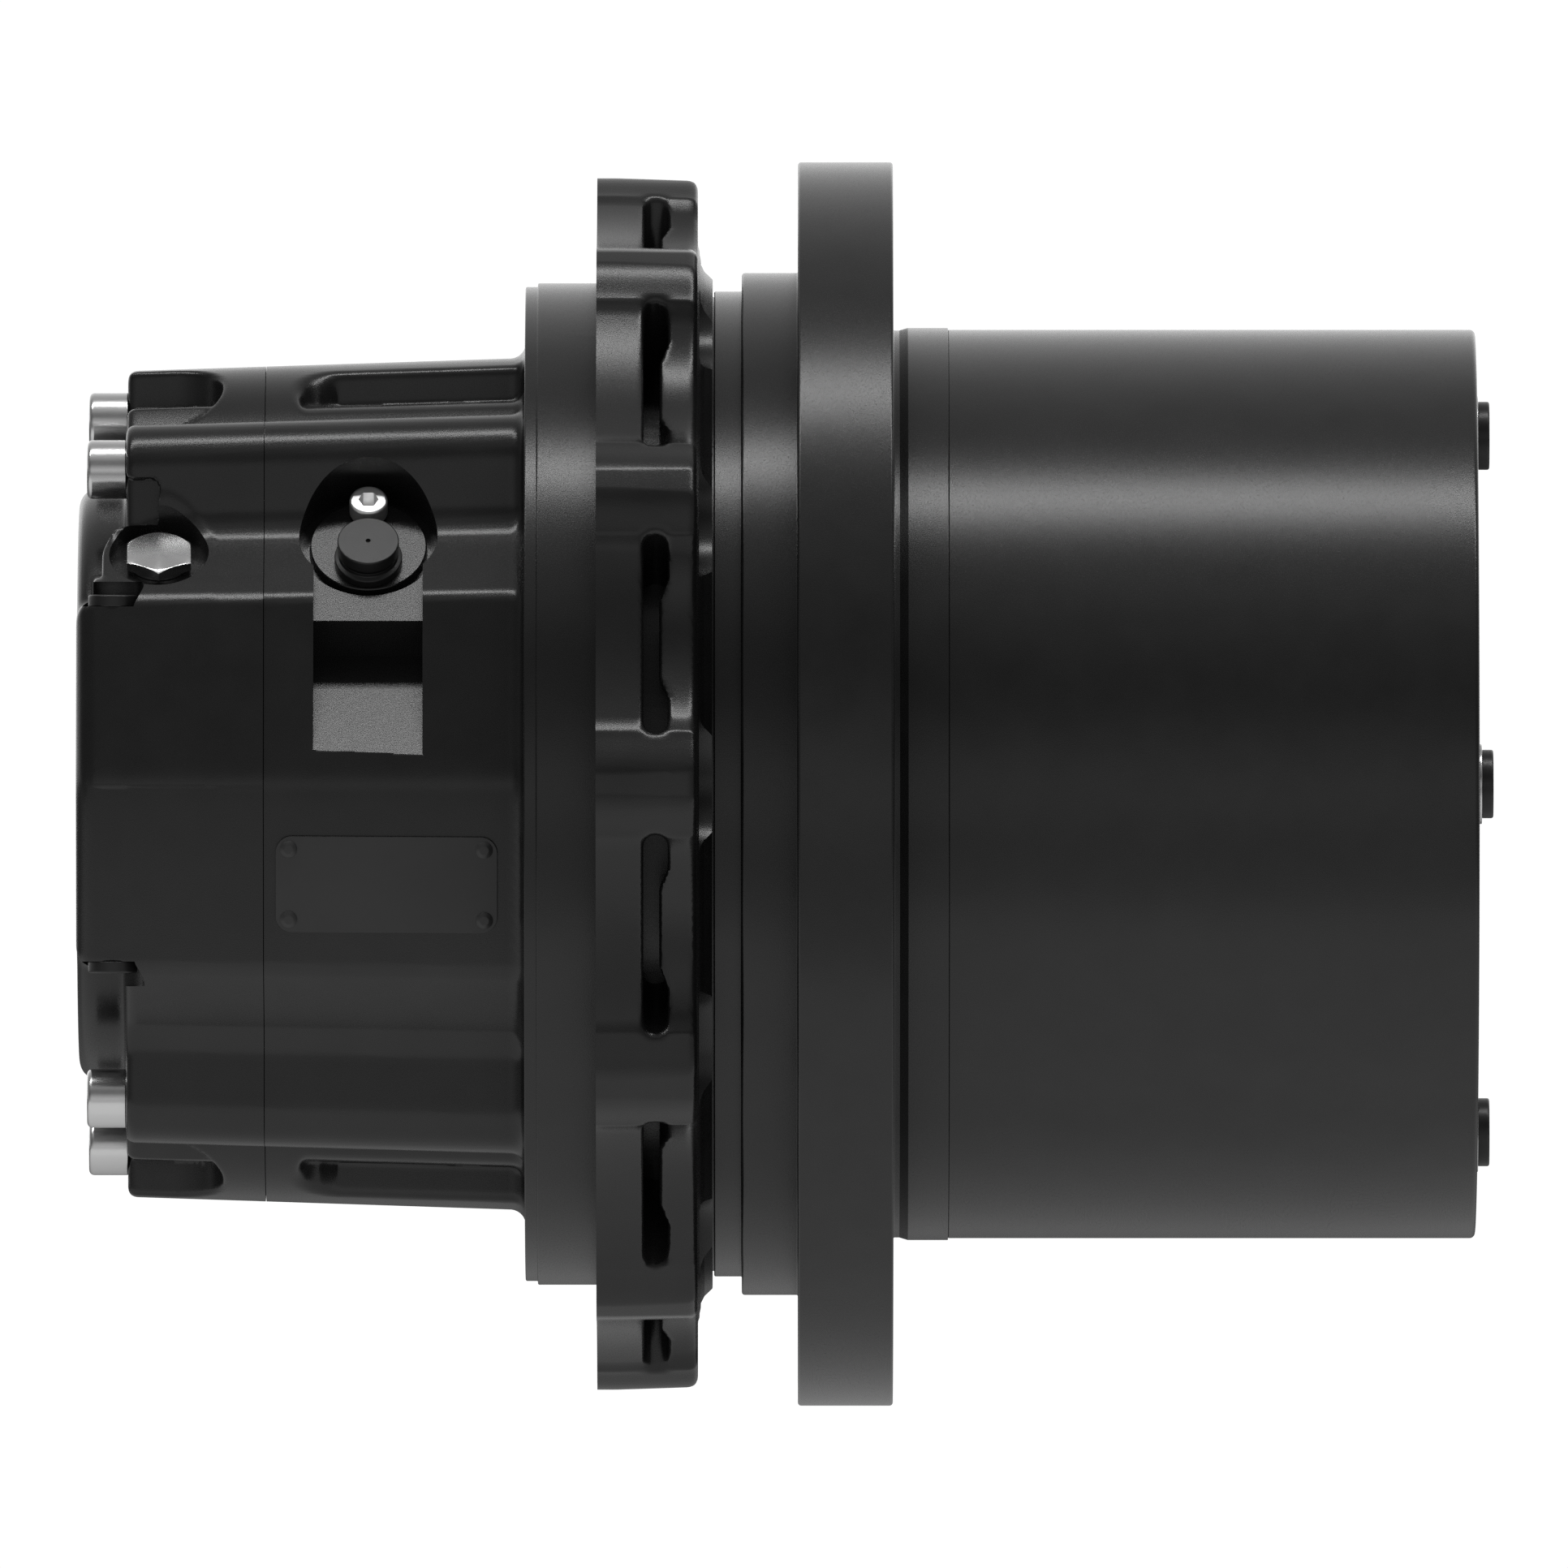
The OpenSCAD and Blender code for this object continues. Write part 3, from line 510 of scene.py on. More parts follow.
def cover_field(x, y, z):
    """End cover: the drafted section up to its step, the round boss, the pads and the port boss."""
    section, crown, u, v = body_section(x, y, z)
    # Notch in the crown: upright inner wall, round right end, flat floor that slopes off in front
    notch_end_x, notch_wall_u, notch_r, notch_floor_v = -131.2, 8, 16, 116.6
    sloping = 101.2 - 0.766 * u - 0.643 * v
    notch_floor = np.minimum(notch_floor_v - v, sloping)
    notch = np.maximum(channel(u, x - notch_end_x, notch_wall_u, notch_r), notch_floor)
    section = blend_min(section, blend_max(crown, -notch, 1.6), 2)
    # Small notch above the gauge port, with one rounded corner
    corner_x, corner_v, corner_r, side_floor_v, side_wall_u = -137, 91.5, 3, 79.8, 66
    corner = np.hypot(np.maximum(x - corner_x, 0), np.maximum(v - corner_v, 0)) - corner_r
    side = np.maximum(np.maximum(corner, side_floor_v - v), np.maximum(side_wall_u - u, -z))
    section = blend_max(section, -side, 1.0)
    shape = blend_max(section, STEP_X - x, 3.2)
    boss = blend_max(np.hypot(y, z) - BOSS_R, COVER_X - x, 7)
    pad_half_height, ledge_top_z, ledge_x = 57, 63.3, -154.3
    pad = blend_max(blend_max(section, v - pad_half_height, 2.5), COVER_X - x, 7)
    # Boss of the gauge port: a half circle about the port with straight sides below
    port_boss_r = 17.4
    tilt = math.radians(GAUGE_TILT)
    up_face = math.sin(tilt) * (y - GAUGE_AT[1]) + math.cos(tilt) * (z - GAUGE_AT[2])
    gauge = blend_max(section, np.hypot(x - GAUGE_AT[0], np.maximum(up_face, 0)) - port_boss_r, 1.5)
    ledge = blend_max(blend_max(section, z - ledge_top_z, 2), ledge_x - x, 2)
    # The port boss and its ledge are on the upper front quarter only
    ahead = np.maximum(y + 30, -z)
    shape = blend_min(shape, boss, 3)
    shape = blend_min(shape, np.maximum(gauge, ahead), 1.5)
    shape = blend_min(shape, np.maximum(ledge, ahead), 1)
    shape = blend_min(shape, pad, 1.5)
    return np.maximum(np.maximum(shape, COVER_X - x), x - (JOINT_X + 4))


def lug_field(x, y, z):
    """Lug flange with its webs and slots. p and q run along and across the nearest lug."""
    radius = np.hypot(y, z)
    angle = np.arctan2(z, y)
    sector = 2 * math.pi / LUG_COUNT
    folded = np.abs(angle - sector * np.round(angle / sector))
    p = radius * np.cos(folded)
    q = radius * np.sin(folded)
    lug = np.hypot(p - LUG_CIRCLE_R, q) - LUG_R
    half = sector / 2

    def web(valley, r):
        """Web between two lugs, scooped out by radius r down to valley from the axis."""
        reach = valley + r
        away = np.hypot(p - reach * math.cos(half), q - reach * math.sin(half))
        return np.maximum(radius - WEB_R, r - away)

    # The webs are scooped deeper on the +X side of the slots
    shallow, deep = web(174.5, 130), web(170, 62)
    turn = np.clip((x - 15.5) / 3, 0, 1)
    outline = fillet_min(shallow * (1 - turn) + deep * turn, lug, 8)
    taper = np.maximum(x - 6, 0) * math.tan(math.radians(1.9))
    flange = blend_max(np.maximum(outline, radius - LUG_TIP_R) + taper, x - 31, 3.5)
    hub = blend_max(radius - FLANGE_HUB_R, x - 31.25, 2)
    shape = blend_min(flange, hub, 3)
    # Slot between neighbouring lugs, wider beside each lug
    slot_x0, slot_end_q, slot_floor_r = 14.5, 15.6, 149
    slot_x1 = 22 - 2.6 * np.clip((q - 26) / 6, 0, 1)
    slot = blend_max(np.maximum(slot_x0 - x, x - slot_x1), slot_end_q - q, 4)
    slot = np.maximum(slot, slot_floor_r - radius)
    shape = blend_max(shape, -slot, 2)
    return np.maximum(shape, np.maximum(145 - radius, -5 - x))


def block(x0, x1, y0, y1, z0, z1):
    return moved(prism([(x0, y0), (x1, y0), (x1, y1), (x0, y1)], z0, z1))


def behind(x, reach=60):
    """Block that takes away everything below station x."""
    return block(x - reach, x, -220, 220, -220, 220)


def port_cutters():
    """Slot with its step, recess around the seat, and the bores of the sensor port."""
    width, step_y, step_z = 33.5, -31.5, -16.5
    outline = [(step_y - 60, step_z), (step_y, step_z), (step_y, 0), (2, 0), (2, 55), (step_y - 60, 55)]
    # The outline is drawn as [up the face, out of the port] and extruded across the slot
    carry = Matrix(((0, 1, 0, 0), (0, 0, 1, 0), (1, 0, 0, 0), (0, 0, 0, 1)))
    slot = placed(prism(outline, -width / 2, width / 2), PORT @ carry)
    seat_r, recess_r, seat_z, recess_z = 17.8, 21.25, -1.2, -4.5
    recess = lathe([(seat_z, 0), (60, 0), (60, recess_r), (recess_z, recess_r), (recess_z, seat_r + 0.3),
                    (seat_z - 0.3, seat_r), (seat_z, seat_r - 0.3)], 128)
    bore = moved(lathe([(-32, 0), (-32, 7.6), (0, 7.6), (0, 0)], 48), 0, 0, SENSOR_Y)
    tap = moved(lathe([(-18, 0), (-18, 3), (0, 3), (0, 0)], 32), 0, 0, SENSOR_SCREW_Y)
    return [slot, placed(recess, PORT), placed(bore, PORT), placed(tap, PORT)]


def plate_matrix():
    """Middle of the nameplate, with +Z out of the lower front face and +X along the axis."""
    at_x, at_z = PLATE_AT
    depth = (PAD_FRONT[2] * (1 + (at_x - JOINT_X) * DRAFT) + PAD_FRONT[1] * at_z) / PAD_FRONT[0]
    draft = math.atan(DRAFT * depth)
    lean = Matrix.Rotation(math.pi / 2 + PLATE_TILT, 4, "X")
    return Matrix.Translation((at_x, -depth, at_z)) @ lean @ Matrix.Rotation(-draft, 4, "Y")


def motor_housing():
    body = skin(housing_field, (-108, -156, -156), (-16, 156, 156), HOUSING_CELL)
    piece = to_object("housing_casting", body, CAST_PAINT)
    carve(piece, behind(JOINT_X + JOINT_GAP))
    pilot = rounded([(BODY_X1 - 0.04, 60, 0), (BODY_X1 - 0.04, 153.1, 0.5), (-18.25, 153.1, 0.3),
                     (-18.25, FRAME_PILOT_R, 0.4), (2, FRAME_PILOT_R, 0), (2, 60, 0)])
    join(piece, lathe(pilot, 240))
    ring = skin(lug_field, (-8, -192, -192), (35, 192, 192), HOUSING_CELL)
    flange = to_object("flange", ring, CAST_PAINT)
    carve(flange, behind(0.0))
    bolt_hole = lathe([(-2, 0), (-2, 8.2), (0.7, 6.75), (29.9, 6.75), (33, 9.5), (33, 0)], 40)
    carve(flange, on_circle(bolt_hole, spread(LUG_COUNT), LUG_CIRCLE_R))
    use_up(piece, flange, "UNION")
    # Neck with its lip, and the spindle that carries the main bearings
    lip_x1, lip_out_r, lip_in_r = 38.2, 150, 146.2
    spindle = rounded([(0.5, 60, 0), (0.5, 150, 0), (25, 150, 0), (25, 162.4, 0), (31.3, 162.4, 0.6),
                       (33, 158.6, 1.5), (NECK_X1, 156, 0.4), (NECK_X1, lip_out_r, 0), (lip_x1, lip_out_r),
                       (lip_x1, lip_in_r), (NECK_X1, lip_in_r, 0), (NECK_X1, 103), (RACE_X0, 103),
                       (RACE_X0, 95), (SPINDLE_X1, 95, 1), (SPINDLE_X1, 60, 0)])
    join(piece, lathe(spindle, 240))
    head_clearance = hole(31.5, 40, 23.5, 96)
    carve(piece, on_circle(head_clearance, spread(LUG_COUNT), LUG_CIRCLE_R))
    cavity = [(JOINT_X - 1, 0), (JOINT_X - 1, 75), (-88, 75), (-88, 70), (-6, 70), (-6, 31), (16, 31),
              (16, 26), (26, 26), (26, 20), (62, 20), (62, 46), (SPINDLE_X1 + 1, 46), (SPINDLE_X1 + 1, 0)]
    carve(piece, lathe(cavity, 128))
    face_seal_room = [(20.8, 108.5), (20.8, 134), (NECK_X1 + 2, 134), (NECK_X1 + 2, 108.5)]
    carve(piece, lathe(face_seal_room, 160))
    carve(piece, on_circle(hole(JOINT_X - 1, -74, 6, 32), SCREW_ANGLES, SCREW_CIRCLE_R))
    # Holes for the screws and the dowels of the second carrier
    carve(piece, on_circle(hole(70, SPINDLE_X1 + 1, 7, 32), spread(4, 45), 56))
    carve(piece, on_circle(hole(90, SPINDLE_X1 + 1, 6, 32), spread(4, 45), 71))
    carve(piece, *port_cutters())
    return finished(piece, "frame_side", ["motor_housing"])


def motor_end_cover():
    body = skin(cover_field, (-163, -116, -136), (-95, 116, 136), COVER_CELL)
    piece = to_object("end_cover_casting", body, CAST_PAINT)
    carve(piece, block(JOINT_X - JOINT_GAP, JOINT_X + 60, -220, 220, -220, 220))
    carve(piece, on_circle(hole(STEP_X - 30, JOINT_X + 1, 6.5, 48), SCREW_ANGLES, SCREW_CIRCLE_R))
    carve(piece, hole(-128, JOINT_X + 1, 26, 64))
    carve(piece, on_circle(hole(-124, JOINT_X + 1, 5, 24), spread(12, 15), 65))
    seal_groove = [(JOINT_X - 2.2, 80), (JOINT_X - 2.2, 84.4), (JOINT_X + 1, 84.4), (JOINT_X + 1, 80)]
    carve(piece, lathe(seal_groove, 128))
    for z in (-42, 42):
        carve(piece, moved(tapped_port(15.1, 24, 26.5), COVER_X, 0, z))
    carve(piece, moved(tapped_port(5.8, 16, 10.5), COVER_X, 46, 0))
    carve(piece, moved(tapped_port(9.3, 18, 16.5), COVER_X, -46, 0))
    gauge = lathe([(60, 0), (60, 15.3), (0, 15.3), (0, 5.9), (-12, 5.9), (-12, 0)], 96)
    carve(piece, placed(gauge, GAUGE))
    seat = lathe([(7.6, 0), (7.6, 9.8), (0, 9.8), (0, 5), (-9, 5), (-9, 0)], 64)
    for side in (1, -1):
        carve(piece, placed(seat, pad_plug_seat(side)))
    return finished(piece, "frame_side", ["motor_end_cover"])


def pad_plug_seat(side):
    """Seat of the plug on the top (side 1) or the underside (side -1) of the side pad."""
    x, y, z = PAD_PLUG_AT
    return Matrix.Translation((x, y, side * z)) @ Matrix.Rotation(math.radians(-90 * side), 4, "Y")


def tapped_port(r, depth, spot_r):
    """Cutter for a hydraulic port: shallow spotface, chamfer and thread, opening towards -X."""
    outline = [(-6, 0), (-6, spot_r), (0.8, spot_r), (0.8, r + 1.8), (2.6, r)]
    pitch, thread = 2.2, 0.9
    for k in range(int((depth - 6) / pitch)):
        x = 3 + k * pitch
        outline += [(x, r), (x + pitch / 2, r + thread), (x + pitch - 0.02, r)]
    outline += [(depth, r), (depth + 0.4 * r, 0)]
    return lathe(outline, 64)


# ---- Fasteners and plugs ----

def cap_screw(head_d, head_h, shank_d, shank, socket_af, chamfer=True):
    """Socket-head cap screw along X, its seat at 0 and its head towards -X. A screw without the
    chamfer at the mouth of its socket has a deeper socket."""
    r = head_d / 2
    outline = rounded([(0, 0, 0), (0, r, 0.35), (-head_h, r, 0.09 * head_d), (-head_h, 0, 0)], 0.3, 5)
    body = to_object("screw", lathe(outline, 96))
    top = Matrix.Translation((-head_h, 0, 0)) @ ALONG_X
    socket_depth = 0.6 * head_h if chamfer else 0.95 * head_h
    carve(body, placed(prism(hexagon(socket_af), -1, socket_depth), top))
    if chamfer:
        mouth = [(-1, 0), (-1, socket_af * 0.62 + 1), (0.15, socket_af * 0.58),
                 (0.9, socket_af * 0.5), (0.9, 0)]
        carve(body, lathe([(x - head_h, y) for x, y in mouth], 48))
    # Smooth part of the shank, then the thread
    shank_r = shank_d / 2
    pitch = shank_d * 0.145
    smooth = shank * 0.45
    turns = [(-0.2, 0), (-0.2, shank_r), (smooth, shank_r)]
    for k in range(int((shank - smooth - 2) / pitch)):
        x = smooth + k * pitch
        turns += [(x + 0.5 * pitch, shank_r - 0.6 * pitch), (x + pitch, shank_r - 0.01)]
    turns += [(shank, shank_r - 1), (shank, 0)]
    join(body, lathe(turns, 40))
    return take(body)


def take(piece):
    """The piece's mesh as a solid, and the piece is removed."""
    verts = np.empty(len(piece.data.vertices) * 3)
    piece.data.vertices.foreach_get("co", verts)
    faces = [list(p.vertices) for p in piece.data.polygons]
    bpy.data.objects.remove(piece)
    return verts.reshape(-1, 3) / MM, faces


def end_cover_screws():
    screw = cap_screw(head_d=18, head_h=12, shank_d=11.96, shank=68, socket_af=10)
    screw = moved(screw, STEP_X, 0, 0)
    piece = to_object("end_cover_cap_screws", on_circle(screw, SCREW_ANGLES, SCREW_CIRCLE_R), ZINC)
    finished(piece, "frame_side", ["end_cover_screws"], 40)


def gauge_plug():
    across = 19.5
    body = to_object("gauge", placed(prism(hexagon(across), 1.5, 5), ALONG_X))
    dome = lathe(rounded([(0, 0, 0), (0, 11.6, 0), (3.9, 11.6, 0), (5, 9.6, 0), (5, 0, 0)]), 96)
    combine(body, [dome], "INTERSECT")
    join(body, lathe([(-10, 0), (-10, 5.2), (-9.4, 5.78), (2, 5.78), (2, 0)], 48))
    piece = to_object("gauge_hex_plug", placed(take(body), GAUGE), ZINC)
    finished(piece, "frame_side", ["gauge_plug"], 30)
    ring = lathe(rounded([(0, 5.8), (0, 9.2), (1.5, 9.2), (1.5, 5.8)], 0.3), 96)
    piece = to_object("gauge_sealing_washer", placed(ring, GAUGE), ZINC)
    finished(piece, "frame_side", ["gauge_plug_washer"])


def pad_plugs():
    outline = rounded([(-8, 0, 0), (-8, 4.98, 0.6), (0, 4.98, 0), (0, 7.5, 0.3), (3.6, 7.5, 0.7),
                       (3.6, 0, 0)], 0.3, 4)
    body = to_object("plug", lathe(outline, 72))
    carve(body, placed(prism(hexagon(5.2), 1.4, 5), ALONG_X))
    plug = take(body)
    solids = [placed(plug, pad_plug_seat(side)) for side in (1, -1)]
    piece = to_object("pad_socket_plugs", together(solids), PLUG_BLACK)
    finished(piece, "frame_side", ["pad_plugs"])


def sensor_plug():
    outline = rounded([(-16, 0, 0), (-16, 7.48, 0.6), (-9, 7.48), (-9, 5.4), (-6.4, 5.4), (-6.4, 7.48),
                       (0, 7.48, 0), (0, 10.4, 0.2), (2.6, 10.4, 0.5), (3.2, 9.0, 0.4), (4.4, 9.0),
                       (4.4, 8.1), (5.6, 8.1), (5.6, 9.45, 0.3), (10, 9.45, 0.5), (10, 0.7, 0.1),
                       (9.2, 0.7, 0), (8.8, 0, 0)], 0.15)
    seat = Matrix.Translation((-1.2, 0, SENSOR_Y))
    piece = to_object("sensor_port_plug", placed(lathe(outline, 128), PORT @ seat), MACHINED)
    finished(piece, "frame_side", ["sensor_plug"])
    screw = cap_screw(head_d=11.7, head_h=6, shank_d=5.96, shank=12, socket_af=5.5, chamfer=False)
    screw = placed(screw, Matrix.Rotation(math.pi, 4, "Z"))
    seat = Matrix.Translation((-0.2, 0, SENSOR_SCREW_Y)) @ Matrix.Rotation(math.radians(90), 4, "X")
    # The screw gets the lighter zinc copy, whose colour paints in the highlight its recess blocks
    piece = to_object("sensor_plug_cap_screw", placed(screw, PORT @ seat), ZINC_WITH_PAINTED_HIGHLIGHT)
    finished(piece, "frame_side", ["sensor_plug_screw"], 40)


def nameplate():
    length, width, thick = PLATE_SIZE
    corner = 5.0
    outline = []
    for k, (sx, sy) in enumerate(((1, 1), (-1, 1), (-1, -1), (1, -1))):
        for a in np.linspace(0, 90, 9) + 90 * k:
            outline.append((sx * (length / 2 - corner) + corner * math.cos(math.radians(a)),
                            sy * (width / 2 - corner) + corner * math.sin(math.radians(a))))
    plate = to_object("nameplate_blank", placed(prism(outline, 0.02, thick), plate_matrix()), PLATE_PAINT)
    edge = plate.modifiers.new("edge", "BEVEL")
    edge.width = 0.22 * MM
    edge.segments = 2
    edge.limit_method = "ANGLE"
    edge.angle_limit = math.radians(50)
    bake_modifiers(plate)
    top = thick + 0.9
    rivet = lathe(rounded([(-5, 0, 0), (-5, 1.49, 0.2), (thick, 1.49, 0), (thick, 2.6, 0.1),
                           (thick + 0.25, 2.6, 0.2), (top, 1.4, 0.6), (top, 0, 0)], 0.1, 4), 48)
    turn = Matrix.Rotation(math.radians(-90), 4, "Y")
    rivet_x, rivet_y = length / 2 - 4, width / 2 - 4
    rivets = []
    for x in (-rivet_x, rivet_x):
        for y in (-rivet_y, rivet_y):
            rivets.append(placed(rivet, plate_matrix() @ Matrix.Translation((x, y, 0)) @ turn))
    finished(plate, "frame_side", ["nameplate"])
    piece = to_object("nameplate_drive_rivets", together(rivets), PLATE_PAINT)
    finished(piece, "frame_side", ["nameplate_rivets"])


# ---- Turning parts ----

def sprocket_hub():
    outline = rounded([(HUB_X0, 134), (HUB_X0, 145.4, 0), (39, 145.4), (39, 150.6), (HUB_X0, 150.6, 0),
                       (HUB_X0, 151.7, 0.5), (44.5, 151.7, 0.3), (44.5, 157.4, 0.9),
                       (FLANGE_X0, 157.4, 0.4), (FLANGE_X0, FLANGE_R, 1.0), (FLANGE_X1, FLANGE_R, 1.0),
                       (FLANGE_X1, 139.7, 0.6), (93, 139.7, 0.2), (PILOT_X0, SPROCKET_PILOT_R, 0.2),
                       (DRUM_X0, SPROCKET_PILOT_R, 0.25), (DRUM_X0, SPIGOT_R), (118, SPIGOT_R), (118, 122),
                       (80, 122), (80, 115.5), (76, 115.5), (76, 122), (51.2, 122), (51.2, 134)], 0.4, 4)
    piece = to_object("sprocket_hub_turned", lathe(outline, 320), TURNED_PAINT)
    bolts = tapped_hole(FLANGE_X0 - 0.02, FLANGE_X1 + 0.02, 7, 2.0, 0.9)
    carve(piece, on_circle(bolts, spread(SPROCKET_BOLTS, 180 / SPROCKET_BOLTS), SPROCKET_CIRCLE_R))
    finished(piece, "gear_case", ["sprocket_hub"], 38)


def ring_tooth_radii(steps):
    """Inner radius at each step of the drum's tooth ring: a flat root, a flank, a flat tip."""
    root, tip = 122.8, 114.6
    cycle = (root, root, root - 1.2, tip + 1.2, tip, tip + 1.2, root - 1.2, root)
    return [cycle[i % len(cycle)] for i in range(steps)]


def ring_gear_drum():
    steps = RING_TEETH * 8
    outer = rounded([(DRUM_X0, SPIGOT_R, 0), (DRUM_X0, DRUM_R, 0.3), (DRUM_X1, DRUM_R, 1.6),
                     (DRUM_X1, SPIGOT_R, 0.4)], 0.4, 5)
    inner = [(250, SPIGOT_R), (250, 124), (237, 124), (237, 114.6, 1), (119.4, 114.6, 1), (119.4, 124),
             (118, 124), (118, SPIGOT_R)]
    drum = lathe(outer + inner, steps, ring_tooth_radii(steps))
    piece = to_object("ring_gear_drum_turned", drum, TURNED_PAINT)
    lock_ring_groove = [(265, 120), (265, 131), (268.2, 131), (268.2, 120)]
    carve(piece, lathe(lock_ring_groove, 256))
    finished(piece, "gear_case", ["ring_gear_drum"], 38)


def drum_end_cover():
    x0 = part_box("drum_end_cover")[0].x / MM
    rim_r = SPIGOT_R - 0.02
    outline = rounded([(x0, 82), (x0, 50), (252, 50), (252, 22), (x0 + 7, 22), (x0 + 7, 15.05),
                       (251, 15.05), (251, 0, 0), (DRUM_X1 + 0.75, 0, 0), (DRUM_X1 + 0.75, 56, 0.4),
                       (DRUM_X1, 56.6, 0), (DRUM_X1, 124.6, 0.8), (265, 124.6, 0), (265, rim_r, 0.3),
                       (259.4, rim_r, 0), (259.4, 124, 0), (255, 124, 0), (255, rim_r, 0),
                       (252, rim_r), (252, 82)], 0.3, 4)
    piece = to_object("drum_end_cover_turned", lathe(outline, 256), TURNED_PAINT)
    carve(piece, on_circle(hole(249, DRUM_X1 + 3, 7.3, 48), OIL_PLUG_ANGLES, OIL_PLUG_R))
    finished(piece, "gear_case", ["drum_end_cover"], 38)


def oil_plugs():
    base = DRUM_X1
    outline = rounded([(base - 13, 0, 0), (base - 13, 7.28, 0.8), (base + 1, 7.28, 0),
                       (base + 1, 10.5, 0.3), (base + 4.5, 10.5, 0.7), (base + 4.5, 0, 0)], 0.3, 4)
    body = to_object("plug", lathe(outline, 96))
    carve(body, placed(prism(hexagon(8.0), base - 3, base + 6), ALONG_X))
    mouth = [(6, 0), (6, 6.6), (4.2, 4.9), (3.7, 4.0), (3.7, 0)]
    carve(body, lathe([(base + x, y) for x, y in mouth], 48))
    piece = to_object("oil_socket_plugs", on_circle(take(body), OIL_PLUG_ANGLES, OIL_PLUG_R), PLUG_BLACK)
    finished(piece, "gear_case", ["oil_plugs"])
    ring = lathe(rounded([(base, 7.3), (base, 12.25), (base + 1, 12.25), (base + 1, 7.3)], 0.25), 96)
    piece = to_object("oil_bonded_washers", on_circle(ring, OIL_PLUG_ANGLES, OIL_PLUG_R), ZINC)
    finished(piece, "gear_case", ["oil_plug_washers"])


# ---- CAD nodes that stay ----

def dress_cad_nodes():
    """Gives each CAD node that stays the look of its slot in the record."""
    slot_of = {entry["node"]: entry["material_slot"] for entry in frame["record"]["subparts"]}
    for name, node in frame["nodes"].items():
        look = LOOK_OF_SLOT[slot_of[name]]
        node.data.materials.clear()
        node.data.materials.append(look)
        node.data.polygons.foreach_set("material_index", np.zeros(len(node.data.polygons), np.int32))


# ---- Stage ----

def camera():
    """Level camera square to the axis, far enough away to show hardly any perspective."""
    lens_mm, sensor_mm = 1400.0, 36.0
    view_width, view_x = 0.483, 0.0575
    data = bpy.data.cameras.new("camera")
    data.lens = lens_mm
    data.sensor_width = sensor_mm
    distance = view_width * lens_mm / sensor_mm
    data.clip_end = 4 * distance
    made = bpy.data.objects.new("camera", data)
    made.location = (view_x, -distance, 0)
    made.rotation_euler = (math.pi / 2, 0, 0)
    bpy.context.scene.collection.objects.link(made)
    bpy.context.scene.camera = made


# Brightness of the surroundings by angle about the X axis: 0 in front, 90 overhead, 180 behind
SURROUND = ((-180, 0.10), (-165, 0.14), (-150, 0.26), (-120, 0.42), (-90, 0.45), (-60, 0.55),
            (-38, 0.60), (-27, 0.20), (-17, 0.18), (-9, 0.50), (-2, 0.56), (8, 0.40), (20, 0.13),
            (34, 0.18), (48, 0.36), (62, 0.30), (100, 0.30), (125, 0.50), (145, 0.72), (157, 0.90),
            (161, 1.04), (166, 1.36), (170, 1.45), (180, 1.45))
SURROUND_PEAK = 1.5
# Share of the brightness left towards both ends of the X axis, and the X parts of the direction
# between which it falls off
SURROUND_END = 0.45
SURROUND_FALL = (0.25, 0.9)
# Brightness of the background that the camera sees
BACKDROP = 1.05

# Half the length of the floor's side in metres
FLOOR_HALF = 0.75
# What the floor adds to reflections, by its distance behind the axis in metres
FLOOR_GLOW = ((-0.75, 0.28), (-0.44, 0.32), (-0.34, 0.60), (-0.125, 0.59), (-0.085, 0.53), (-0.04, 0.52),
              (0.26, 0.06), (0.75, 0.04))


def fill_ramp(ramp, stops):
    """Gives a colour ramp grey stops, each a (position, value)."""
    while len(ramp.elements) < len(stops):
        ramp.elements.new(0.5)
    for element, (position, value) in zip(ramp.elements, stops):
        element.position = position
        element.color = (*grey(value), 1)


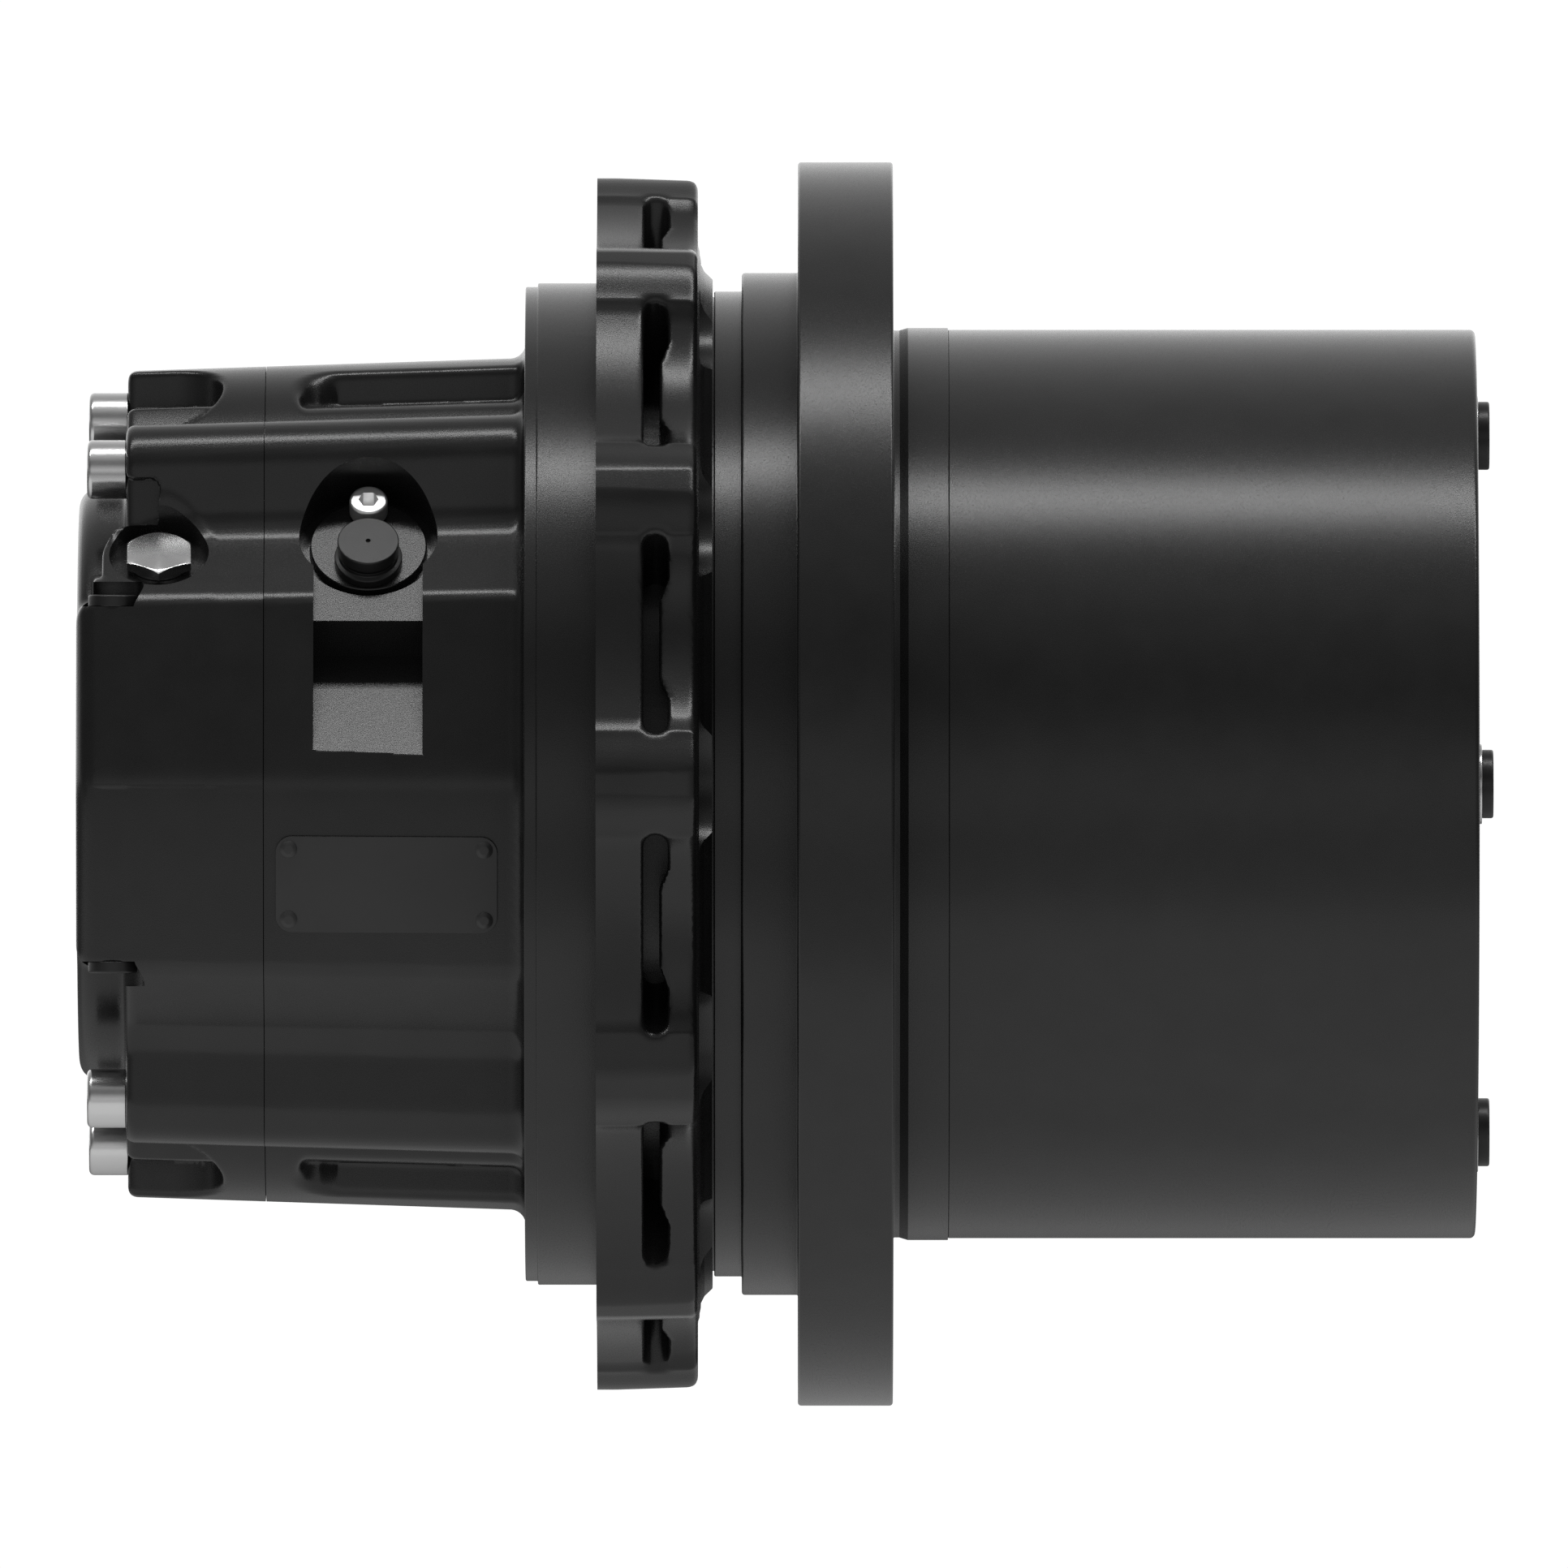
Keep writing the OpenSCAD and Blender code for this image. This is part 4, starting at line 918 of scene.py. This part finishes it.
def surroundings():
    world = bpy.data.worlds.new("studio")
    bpy.context.scene.world = world
    world.use_nodes = True
    tree = world.node_tree
    background = tree.nodes["Background"]
    coords = tree.nodes.new("ShaderNodeTexCoord")
    split = tree.nodes.new("ShaderNodeSeparateXYZ")
    flip = tree.nodes.new("ShaderNodeMath")
    flip.operation = "MULTIPLY"
    flip.inputs[1].default_value = -1
    angle = tree.nodes.new("ShaderNodeMath")
    angle.operation = "ARCTAN2"
    turn = tree.nodes.new("ShaderNodeMapRange")
    turn.inputs["From Min"].default_value = -math.pi
    turn.inputs["From Max"].default_value = math.pi
    ramp = tree.nodes.new("ShaderNodeValToRGB")
    tree.links.new(coords.outputs["Generated"], split.inputs[0])
    tree.links.new(split.outputs["Y"], flip.inputs[0])
    tree.links.new(split.outputs["Z"], angle.inputs[0])
    tree.links.new(flip.outputs[0], angle.inputs[1])
    tree.links.new(angle.outputs[0], turn.inputs["Value"])
    tree.links.new(turn.outputs["Result"], ramp.inputs["Fac"])
    stops = [((degrees + 180) / 360, value / SURROUND_PEAK) for degrees, value in SURROUND]
    fill_ramp(ramp.color_ramp, stops)
    aside = tree.nodes.new("ShaderNodeMath")
    aside.operation = "ABSOLUTE"
    fall = tree.nodes.new("ShaderNodeMapRange")
    fall.inputs["From Min"].default_value = SURROUND_FALL[0]
    fall.inputs["From Max"].default_value = SURROUND_FALL[1]
    fall.inputs["To Min"].default_value = SURROUND_PEAK
    fall.inputs["To Max"].default_value = SURROUND_END * SURROUND_PEAK
    tree.links.new(split.outputs["X"], aside.inputs[0])
    tree.links.new(aside.outputs[0], fall.inputs["Value"])
    tree.links.new(fall.outputs["Result"], background.inputs["Strength"])
    white = tree.nodes.new("ShaderNodeBackground")
    white.inputs["Color"].default_value = (1, 1, 1, 1)
    white.inputs["Strength"].default_value = BACKDROP
    path = tree.nodes.new("ShaderNodeLightPath")
    mix = tree.nodes.new("ShaderNodeMixShader")
    tree.links.new(ramp.outputs["Color"], background.inputs["Color"])
    tree.links.new(path.outputs["Is Camera Ray"], mix.inputs["Fac"])
    tree.links.new(background.outputs[0], mix.inputs[1])
    tree.links.new(white.outputs[0], mix.inputs[2])
    tree.links.new(mix.outputs[0], tree.nodes["World Output"].inputs["Surface"])


def area_light(name, angle, distance, length, width, radiance):
    """Long strip light parallel to the X axis, at an angle about it as in SURROUND."""
    data = bpy.data.lights.new(name, "AREA")
    data.shape = "RECTANGLE"
    data.size = length
    data.size_y = width
    data.energy = radiance * math.pi * length * width
    made = bpy.data.objects.new(name, data)
    a = math.radians(angle)
    direction = Vector((0, -math.cos(a), math.sin(a)))
    middle = Vector((0.06, 0, 0))
    side = Vector((1, 0, 0))
    axes = Matrix((side, direction.cross(side), direction)).transposed().to_4x4()
    made.matrix_world = Matrix.Translation(middle + direction * distance) @ axes
    bpy.context.scene.collection.objects.link(made)


def floor():
    """Pale floor just under the flange, bright enough that it stays white."""
    half = FLOOR_HALF
    gap = 0.4
    z = -(FLANGE_R + gap) * MM
    mesh = bpy.data.meshes.new("floor")
    corners = [(-half, -half, z), (half, -half, z), (half, half, z), (-half, half, z)]
    mesh.from_pydata(corners, [], [(0, 1, 2, 3)])
    material = bpy.data.materials.new("floor")
    material.use_nodes = True
    tree = material.node_tree
    tree.nodes.remove(tree.nodes["Principled BSDF"])
    pale = tree.nodes.new("ShaderNodeBsdfDiffuse")
    pale.inputs["Color"].default_value = (*grey(0.15), 1)
    glow = tree.nodes.new("ShaderNodeEmission")
    path = tree.nodes.new("ShaderNodeLightPath")
    level = tree.nodes.new("ShaderNodeMapRange")
    level.inputs["To Max"].default_value = 1.0
    coords = tree.nodes.new("ShaderNodeTexCoord")
    split = tree.nodes.new("ShaderNodeSeparateXYZ")
    place = tree.nodes.new("ShaderNodeMapRange")
    place.inputs["From Min"].default_value = -half
    place.inputs["From Max"].default_value = half
    glow_ramp = tree.nodes.new("ShaderNodeValToRGB")
    fill_ramp(glow_ramp.color_ramp, [((y / half + 1) / 2, value) for y, value in FLOOR_GLOW])
    tree.links.new(coords.outputs["Object"], split.inputs[0])
    tree.links.new(split.outputs["Y"], place.inputs["Value"])
    tree.links.new(place.outputs["Result"], glow_ramp.inputs["Fac"])
    tree.links.new(glow_ramp.outputs["Color"], level.inputs["To Min"])
    total = tree.nodes.new("ShaderNodeAddShader")
    tree.links.new(path.outputs["Is Camera Ray"], level.inputs["Value"])
    tree.links.new(level.outputs["Result"], glow.inputs["Strength"])
    tree.links.new(pale.outputs[0], total.inputs[0])
    tree.links.new(glow.outputs[0], total.inputs[1])
    tree.links.new(total.outputs[0], tree.nodes["Material Output"].inputs["Surface"])
    mesh.materials.append(material)
    made = bpy.data.objects.new("floor", mesh)
    bpy.context.scene.collection.objects.link(made)


camera()
surroundings()
area_light("key", angle=75, distance=2.2, length=4.0, width=0.25, radiance=12.4)
floor()
bpy.context.scene.view_settings.view_transform = "Standard"

dress_cad_nodes()
motor_housing()
motor_end_cover()
end_cover_screws()
gauge_plug()
pad_plugs()
sensor_plug()
nameplate()
sprocket_hub()
ring_gear_drum()
drum_end_cover()
oil_plugs()
